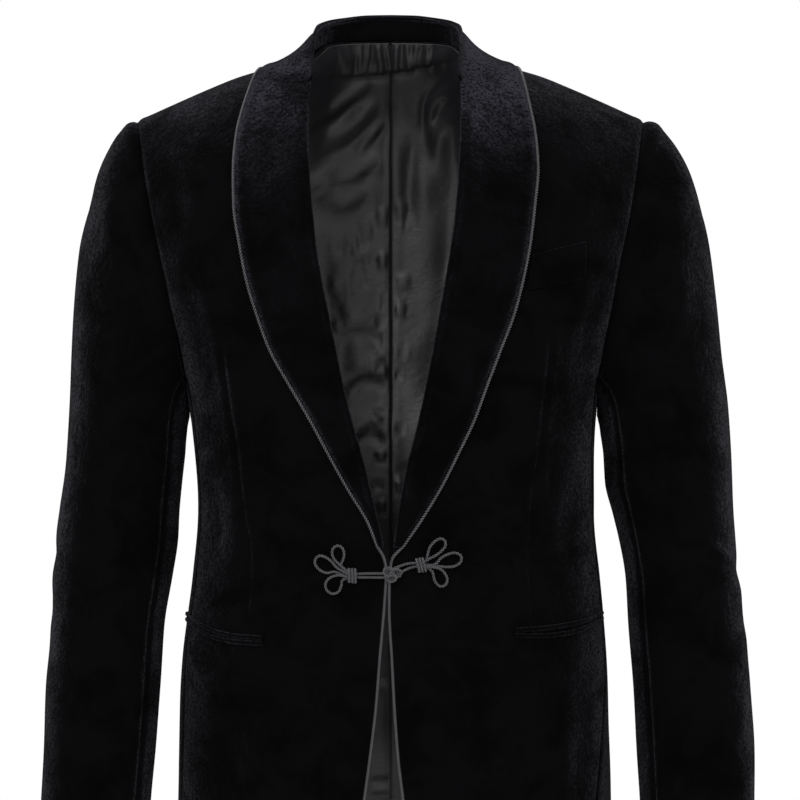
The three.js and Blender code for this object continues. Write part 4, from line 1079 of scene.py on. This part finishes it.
def add_sleeve(side):
    front, back = SLEEVE_SEAM_TURNS["front"], SLEEVE_SEAM_TURNS["back"]
    last = len(SLEEVE["y"]) - 1
    for part, start, end in (("top", back - 360, front), ("under", front, back)):
        across, count = FINE[f"sleeve_{part}"]
        turns = mix(start, end, even_shares(across, 0.35))
        along = last * np.linspace(0, 1, count) ** 1.15
        base = sleeve_grid(side, turns, along)
        centre = base.mean(1, keepdims=True)
        out = grid_normals(base, base - centre)
        places = np.stack([np.broadcast_to(turns, base.shape[:2]) * SLEEVE_MM_PER_DEGREE, base[..., 2]], -1)
        folds = [
            {**one, "route": [(turn * SLEEVE_MM_PER_DEGREE, z) for turn, z in one["route"]]}
            for one in SLEEVE_FOLDS[side]
        ]
        distance = edge_distances(base)
        relief = fold_depths(places, folds) + waves(base, 75, 0.9, 61 + SIDES[side])
        relief *= away_from(base, ["first", "last", "bottom"], 16)
        relief += seam_depths(base, ["first", "last"])
        relief += -1.6 * bump(distance["bottom"], 2.4)
        over_top = bump(turns, 70)[None, :]
        relief += HEAD_ROLL * over_top * bump(distance["bottom"] - 8, 6)
        points = base + out * relief[..., None]
        lined = (distance["top"] > HEM_TURNING).astype(int)
        piece = cloth_wall(f"velvet_sleeve_{part}_{side}", points, grid_normals(points, out), VELVET_WALL,
                           [SLEEVE_VELVET, SATIN], lined)
        finish_piece(piece, [f"sleeve_{part}_{side}"])


def shawl_lines(side):
    """Fold, edge and hollow of the shawl at each row of its two tables, closure to centre back."""
    sign = SIDES[side]
    full = SHAWL_LIFT + SHAWL_WALL
    fold_line = list(on_body(side, "front", sign * LAPEL[f"roll_{side}"], LAPEL["roll_z"], full))
    edge_line = list(on_body(side, "front", sign * LAPEL[f"edge_{side}"], LAPEL["edge_z"], full))
    for k in range(len(COLLAR["fold_y"])):
        fold_line.append(np.array([sign * COLLAR[f"fold_{side}"][k], COLLAR["fold_y"][k], COLLAR["fold_z"][k]]))
        edge_line.append(on_shoulder(side, sign * COLLAR[f"edge_{side}"][k], COLLAR["edge_y"][k], full))
    return np.array(fold_line), np.array(edge_line)


def along_rows(values, at):
    """Values given row by row, read smoothly between the rows."""
    knots = np.arange(len(values), dtype=float)
    columns = np.asarray(values, float).reshape(len(values), -1)
    read = [curve({"at": knots, "value": column}, "at", "value")(at) for column in columns.T]
    return np.stack(read, -1)


SHAWL_EASING = 26


def shawl_grid(side, shares):
    """Points of the shawl from the closure to the centre back, each row from its fold to its edge."""
    sign = SIDES[side]
    full = SHAWL_LIFT + SHAWL_WALL
    fold_line, edge_line = shawl_lines(side)
    rows_at = np.linspace(0, len(fold_line) - 1, FINE["shawl"][1])
    folds = along_rows(fold_line, rows_at)
    edges = along_rows(edge_line, rows_at)
    lapel_last = len(LAPEL["roll_z"]) - 1
    lapel_at = np.clip(rows_at, 0, lapel_last)
    columns = {name: along_rows(LAPEL[name], lapel_at)[:, :1] for name in LAPEL}
    x = sign * mix(columns[f"roll_{side}"], columns[f"edge_{side}"], shares)
    z = mix(columns["roll_z"], columns["edge_z"], shares)
    lying = on_body(side, "front", x, z, np.full(x.shape, full))
    hollow = np.concatenate([np.zeros(len(LAPEL["roll_z"])), COLLAR["hollow"]])
    bow = 4 * shares * (1 - shares) * along_rows(hollow, rows_at)
    standing = mix(folds[:, None], edges[:, None], shares[:, None])
    standing[..., 0] += sign * bow * HOLLOW_SHARE
    standing[..., 2] += bow * HOLLOW_SHARE
    up = smooth(rows_at, lapel_last, lapel_last + 1)[:, None, None]
    grid = mix(lying, standing, up)
    # Round the neck the cloth runs on smoothly, also across the centre back
    whole = np.concatenate([grid, grid[-2::-1] * [-1, 1, 1]])
    for _ in range(SHAWL_EASING):
        whole[1:-1] = (whole[:-2] + 2 * whole[1:-1] + whole[2:]) / 4
    eased = whole[:len(grid)]
    return mix(grid, eased, smooth(rows_at, lapel_last - 2, lapel_last)[:, None, None])


SHAWL_FOLDS = {
    "right": [
        fold([(-96, -20), (-100, -60), (-104, -110)], 10, 0.9),
        fold([(-84, -180), (-92, -150), (-96, -120)], 9, 0.7),
    ],
    "left": [
        fold([(88, -16), (92, -50), (100, -96)], 10, 0.9),
        fold([(76, -190), (84, -150), (90, -120)], 9, 0.7),
    ],
}


def add_shawl(side):
    base = shawl_grid(side, even_shares(FINE["shawl"][0], 0.6))
    middle = base.mean(axis=(0, 1)) * [0, 0, 1] + [0, 0, -60]
    out = grid_normals(base, base - middle)
    distance = edge_distances(base)
    roll = -2.6 * bump(distance["first"], 4.5) * smooth(distance["bottom"], 0, 60)
    relief = roll - 0.9 * bump(distance["last"], 2.0) + 0.7 * bump(distance["last"] - 6, 4)
    relief += fold_depths(base[..., [0, 2]], SHAWL_FOLDS[side]) + waves(base, 70, 0.7, 71 + SIDES[side])
    relief *= smooth(distance["bottom"], -2, 20)
    points = base + out * relief[..., None]
    piece = cloth_wall(f"velvet_shawl_{side}", points, grid_normals(points, out), SHAWL_WALL,
                       [COLLAR_VELVET])
    finish_piece(piece, [f"shawl_{side}"])


def add_stand():
    across, count = FINE["stand"]
    shares = np.linspace(0, 1, across)[:, None]
    halves = []
    for side in SIDES:
        columns = {name: along_rows(COLLAR[name], np.linspace(0, 7, count // 2))[:, 0] for name in COLLAR}
        fold_line = np.stack([SIDES[side] * columns[f"fold_{side}"], columns["fold_y"], columns["fold_z"]], -1)
        inward = unit(np.stack([-fold_line[:, 0], np.minimum(-fold_line[:, 1], 0), 0 * columns["fold_z"]], -1))
        top = fold_line + inward * (SHAWL_WALL + CORD_GAP)
        lean = [SIDES[side] * columns["stand_x"], columns["stand_y"], columns["stand_z"]]
        foot = top + np.stack(lean, -1)
        halves.append(np.swapaxes(mix(foot[None], top[None], shares[..., None]), 0, 1))
    base = np.concatenate([halves[0], halves[1][:-1][::-1]])
    centre = np.array([0, -20, 20])
    out = grid_normals(base, centre - base)
    relief = seam_depths(base, ["first"], 0.8, 2.0, 0.4) + waves(base, 50, 0.5, 83)
    points = base + out * relief[..., None]
    piece = cloth_wall("velvet_collar_stand", points, grid_normals(points, out), STAND_WALL, [VELVET])
    finish_piece(piece, ["collar_stand"])


# Cords

def add_piping(side):
    sign = SIDES[side]
    heights = [HEM + HEM_CORNER_RADIUS, -690, *FRONT_CORD["z"][1:]]
    edge = [on_body(side, "front", front_cord[side](z), z, -VELVET_WALL / 2) for z in heights]
    turn = on_body(side, "front", CORD_TURN[side], CORD_TURN["z"], CORD_TURN["lift"])
    rows = shawl_grid(side, np.array([0, 0.9, 1]))[::3]
    middle = np.array([0, 0, -60])
    normals = grid_normals(rows, rows - middle)
    out = unit(rows[:, 2] - rows[:, 1])
    border = rows[:, 2] - normals[:, 2] * (SHAWL_WALL / 2 + 0.3) + out * (CORD_RADIUS + SHAWL_CORD_GAP)
    line = smooth_line([*edge, turn, *border], 12)
    piece = add_cord(f"cord_piping_{side}", [line], CORD_RADIUS, CORD, spacing=0.8)
    finish_piece(piece, [f"piping_{side}"])


def on_front(x, z, lift):
    side = "right" if x < 0 else "left"
    return on_body(side, "front", x, z, lift)


def laid_loop(route, low, high):
    """A loop on the front that starts on top of the others and ends below them."""
    lifts = np.linspace(high, low, len(route))
    return smooth_line([on_front(x, z, lift) for (x, z), lift in zip(route, lifts)], 10)


def wrap_line(wrap):
    """The cord wound round the loops' ends, as a short flattened helix."""
    centre = on_front(wrap["x"], wrap["z"], FROG_LIFT + 1.0)
    share = np.linspace(0, 1, 90)
    turn = 2 * np.pi * WRAP["turns"] * share
    tilt = math.radians(wrap["tilt"])
    along = (share - 0.5) * (WRAP["length"] - 2 * FROG_CORD_RADIUS)
    up = np.cos(turn) * (WRAP["height"] / 2 - FROG_CORD_RADIUS)
    out = np.sin(turn) * WRAP["depth"] / 2
    x = along * math.cos(tilt) - up * math.sin(tilt)
    z = along * math.sin(tilt) + up * math.cos(tilt)
    return centre + np.stack([x, -out, z], -1)


def add_frog(side):
    frog = FROGS[side]
    lines = [laid_loop(route, FROG_LIFT, FROG_LIFT + 1.6) for route in frog["loops"]]
    for route in frog["bars"]:
        lifts = (FROG_LIFT, FROG_LIFT + 0.3, KNOT["lift"] - 0.6)
        lines.append(smooth_line([on_front(x, z, lift) for (x, z), lift in zip(route, lifts)], 10))
    lines.append(wrap_line(frog["wrap"]))
    piece = add_cord(f"cord_frog_{side}", lines, FROG_CORD_RADIUS, CORD, spacing=0.5)
    finish_piece(piece, [f"frog_{side}"])


def add_knot():
    """A domed knot of one cord, which passes over and under itself three times."""
    centre = on_front(KNOT["x"], KNOT["z"], KNOT["lift"])
    turn = np.linspace(0, 4 * np.pi, 240)
    reach = 0.58 + 0.42 * np.cos(1.5 * turn)
    x = reach * np.cos(turn + 0.3) * (KNOT["width"] / 2 - KNOT["cord"])
    z = reach * np.sin(turn + 0.3) * (KNOT["height"] / 2 - KNOT["cord"])
    y = -(1 - reach**2) * KNOT["bulge"] - KNOT["cord"] * np.sin(1.5 * turn)
    lines = [centre + np.stack([x, y, z], -1)]
    ring = np.linspace(0, 2 * np.pi, 80)
    wide = 0.66 * (KNOT["width"] / 2 - KNOT["cord"])
    high = 0.66 * (KNOT["height"] / 2 - KNOT["cord"])
    lines.append(centre + np.stack([wide * np.cos(ring), 0 * ring + 0.9, high * np.sin(ring)], -1))
    piece = add_cord("cord_knot", lines, KNOT["cord"], CORD, spacing=0.5)
    finish_piece(piece, ["frog_knot"])


# Pockets

def strip(side, low, high, bulge, lift):
    """Rows of a soft strip on a front between two lines of places, raised along its middle."""
    across, along = FINE["pocket"]
    at = np.linspace(0, len(low["x"]) - 1, along)
    lines = {}
    for name, line in (("low", low), ("high", high)):
        lines[name] = np.stack([along_rows(line[key], at)[:, 0] for key in ("x", "z")], -1)
    share = np.linspace(0, 1, across)[:, None, None]
    places = mix(lines["low"][None], lines["high"][None], share)
    height = lift + bulge * np.sin(np.pi * share[..., 0]) ** 0.6
    height = np.broadcast_to(height, places.shape[:2])
    base = body_points(side, "front", SIDES[side] * places[..., 0], places[..., 1])
    out = body_normals(side, "front", base)
    points = base + out * height[..., None]
    return points, grid_normals(points, out)


def add_pockets():
    points, normals = strip("left", BREAST_WELT["bottom"], BREAST_WELT["top"], 1.1, TRIM_LIFT + POCKET_WALL)
    piece = cloth_wall("velvet_breast_welt", points, normals, POCKET_WALL, [VELVET])
    finish_piece(piece, ["breast_welt"])
    near = JET_GAP / 2
    for side, mouth in HIP_POCKET.items():
        edges = {
            "upper": ({**mouth, "z": mouth["z"] + near}, {**mouth, "z": mouth["z"] + near + JET_HEIGHT}),
            "lower": (
                {**mouth, "z": mouth["z"] - near - JET_HEIGHT - mouth["gape"]},
                {**mouth, "z": mouth["z"] - near - mouth["gape"]},
            ),
        }
        for part, (low, high) in edges.items():
            points, normals = strip(side, low, high, 1.6, TRIM_LIFT + POCKET_WALL)
            piece = cloth_wall(f"velvet_hip_jet_{part}_{side}", points, normals, POCKET_WALL, [VELVET])
            finish_piece(piece, [f"hip_jet_{part}_{side}"])


for side in SIDES:
    add_front(side)
    add_side_panel(side)
    add_back(side)
    add_lining(side)
    add_sleeve(side)
    add_shawl(side)
    add_piping(side)
    add_frog(side)
add_stand()
add_pockets()
add_knot()

# Stage, light and camera, in metres

FLOOR_HEIGHT = -0.9
FLOOR_RADIUS = 1.85


def add_floor():
    round_edge = np.linspace(0, 2 * np.pi, 96, endpoint=False)
    edge = np.stack([np.cos(round_edge) * FLOOR_RADIUS, np.sin(round_edge) * FLOOR_RADIUS,
                     np.full(96, FLOOR_HEIGHT)], -1)
    floor = add_mesh("studio_floor", edge / MM, [list(range(96))], [painted_floor()])


def add_light(name, place, target, size, power):
    lamp = bpy.data.lights.new(name, "AREA")
    lamp.shape = "RECTANGLE"
    lamp.size, lamp.size_y = size
    lamp.energy = power
    light = bpy.data.objects.new(name, lamp)
    light.location = place
    toward = np.array(target) - np.array(place)
    light.rotation_euler = (math.atan2(math.hypot(toward[0], toward[1]), -toward[2]), 0,
                            math.atan2(toward[1], toward[0]) - math.pi / 2)
    bpy.context.scene.collection.objects.link(light)


def add_studio():
    world = bpy.data.worlds.new("white_studio")
    bpy.context.scene.world = world
    world.use_nodes = True
    world.node_tree.nodes["Background"].inputs["Color"].default_value = (1, 1, 1, 1)
    world.node_tree.nodes["Background"].inputs["Strength"].default_value = 1.0
    add_light("key_softbox", (-1.1, -2.6, 1.3), (0, 0, -0.3), (1.4, 1.4), 40)
    add_light("fill_softbox", (1.8, -2.2, 0.6), (0, 0, -0.3), (1.2, 1.8), 18)
    bpy.context.scene.view_settings.view_transform = "Standard"


def add_camera():
    lens = bpy.data.cameras.new("camera")
    lens.sensor_width = 36
    lens.lens = 160.9
    camera = bpy.data.objects.new("camera", lens)
    camera.location = (0.0085, -3.2, -0.304)
    camera.rotation_euler = (math.pi / 2, 0, 0)
    bpy.context.scene.collection.objects.link(camera)
    bpy.context.scene.camera = camera


add_floor()
add_studio()
add_camera()
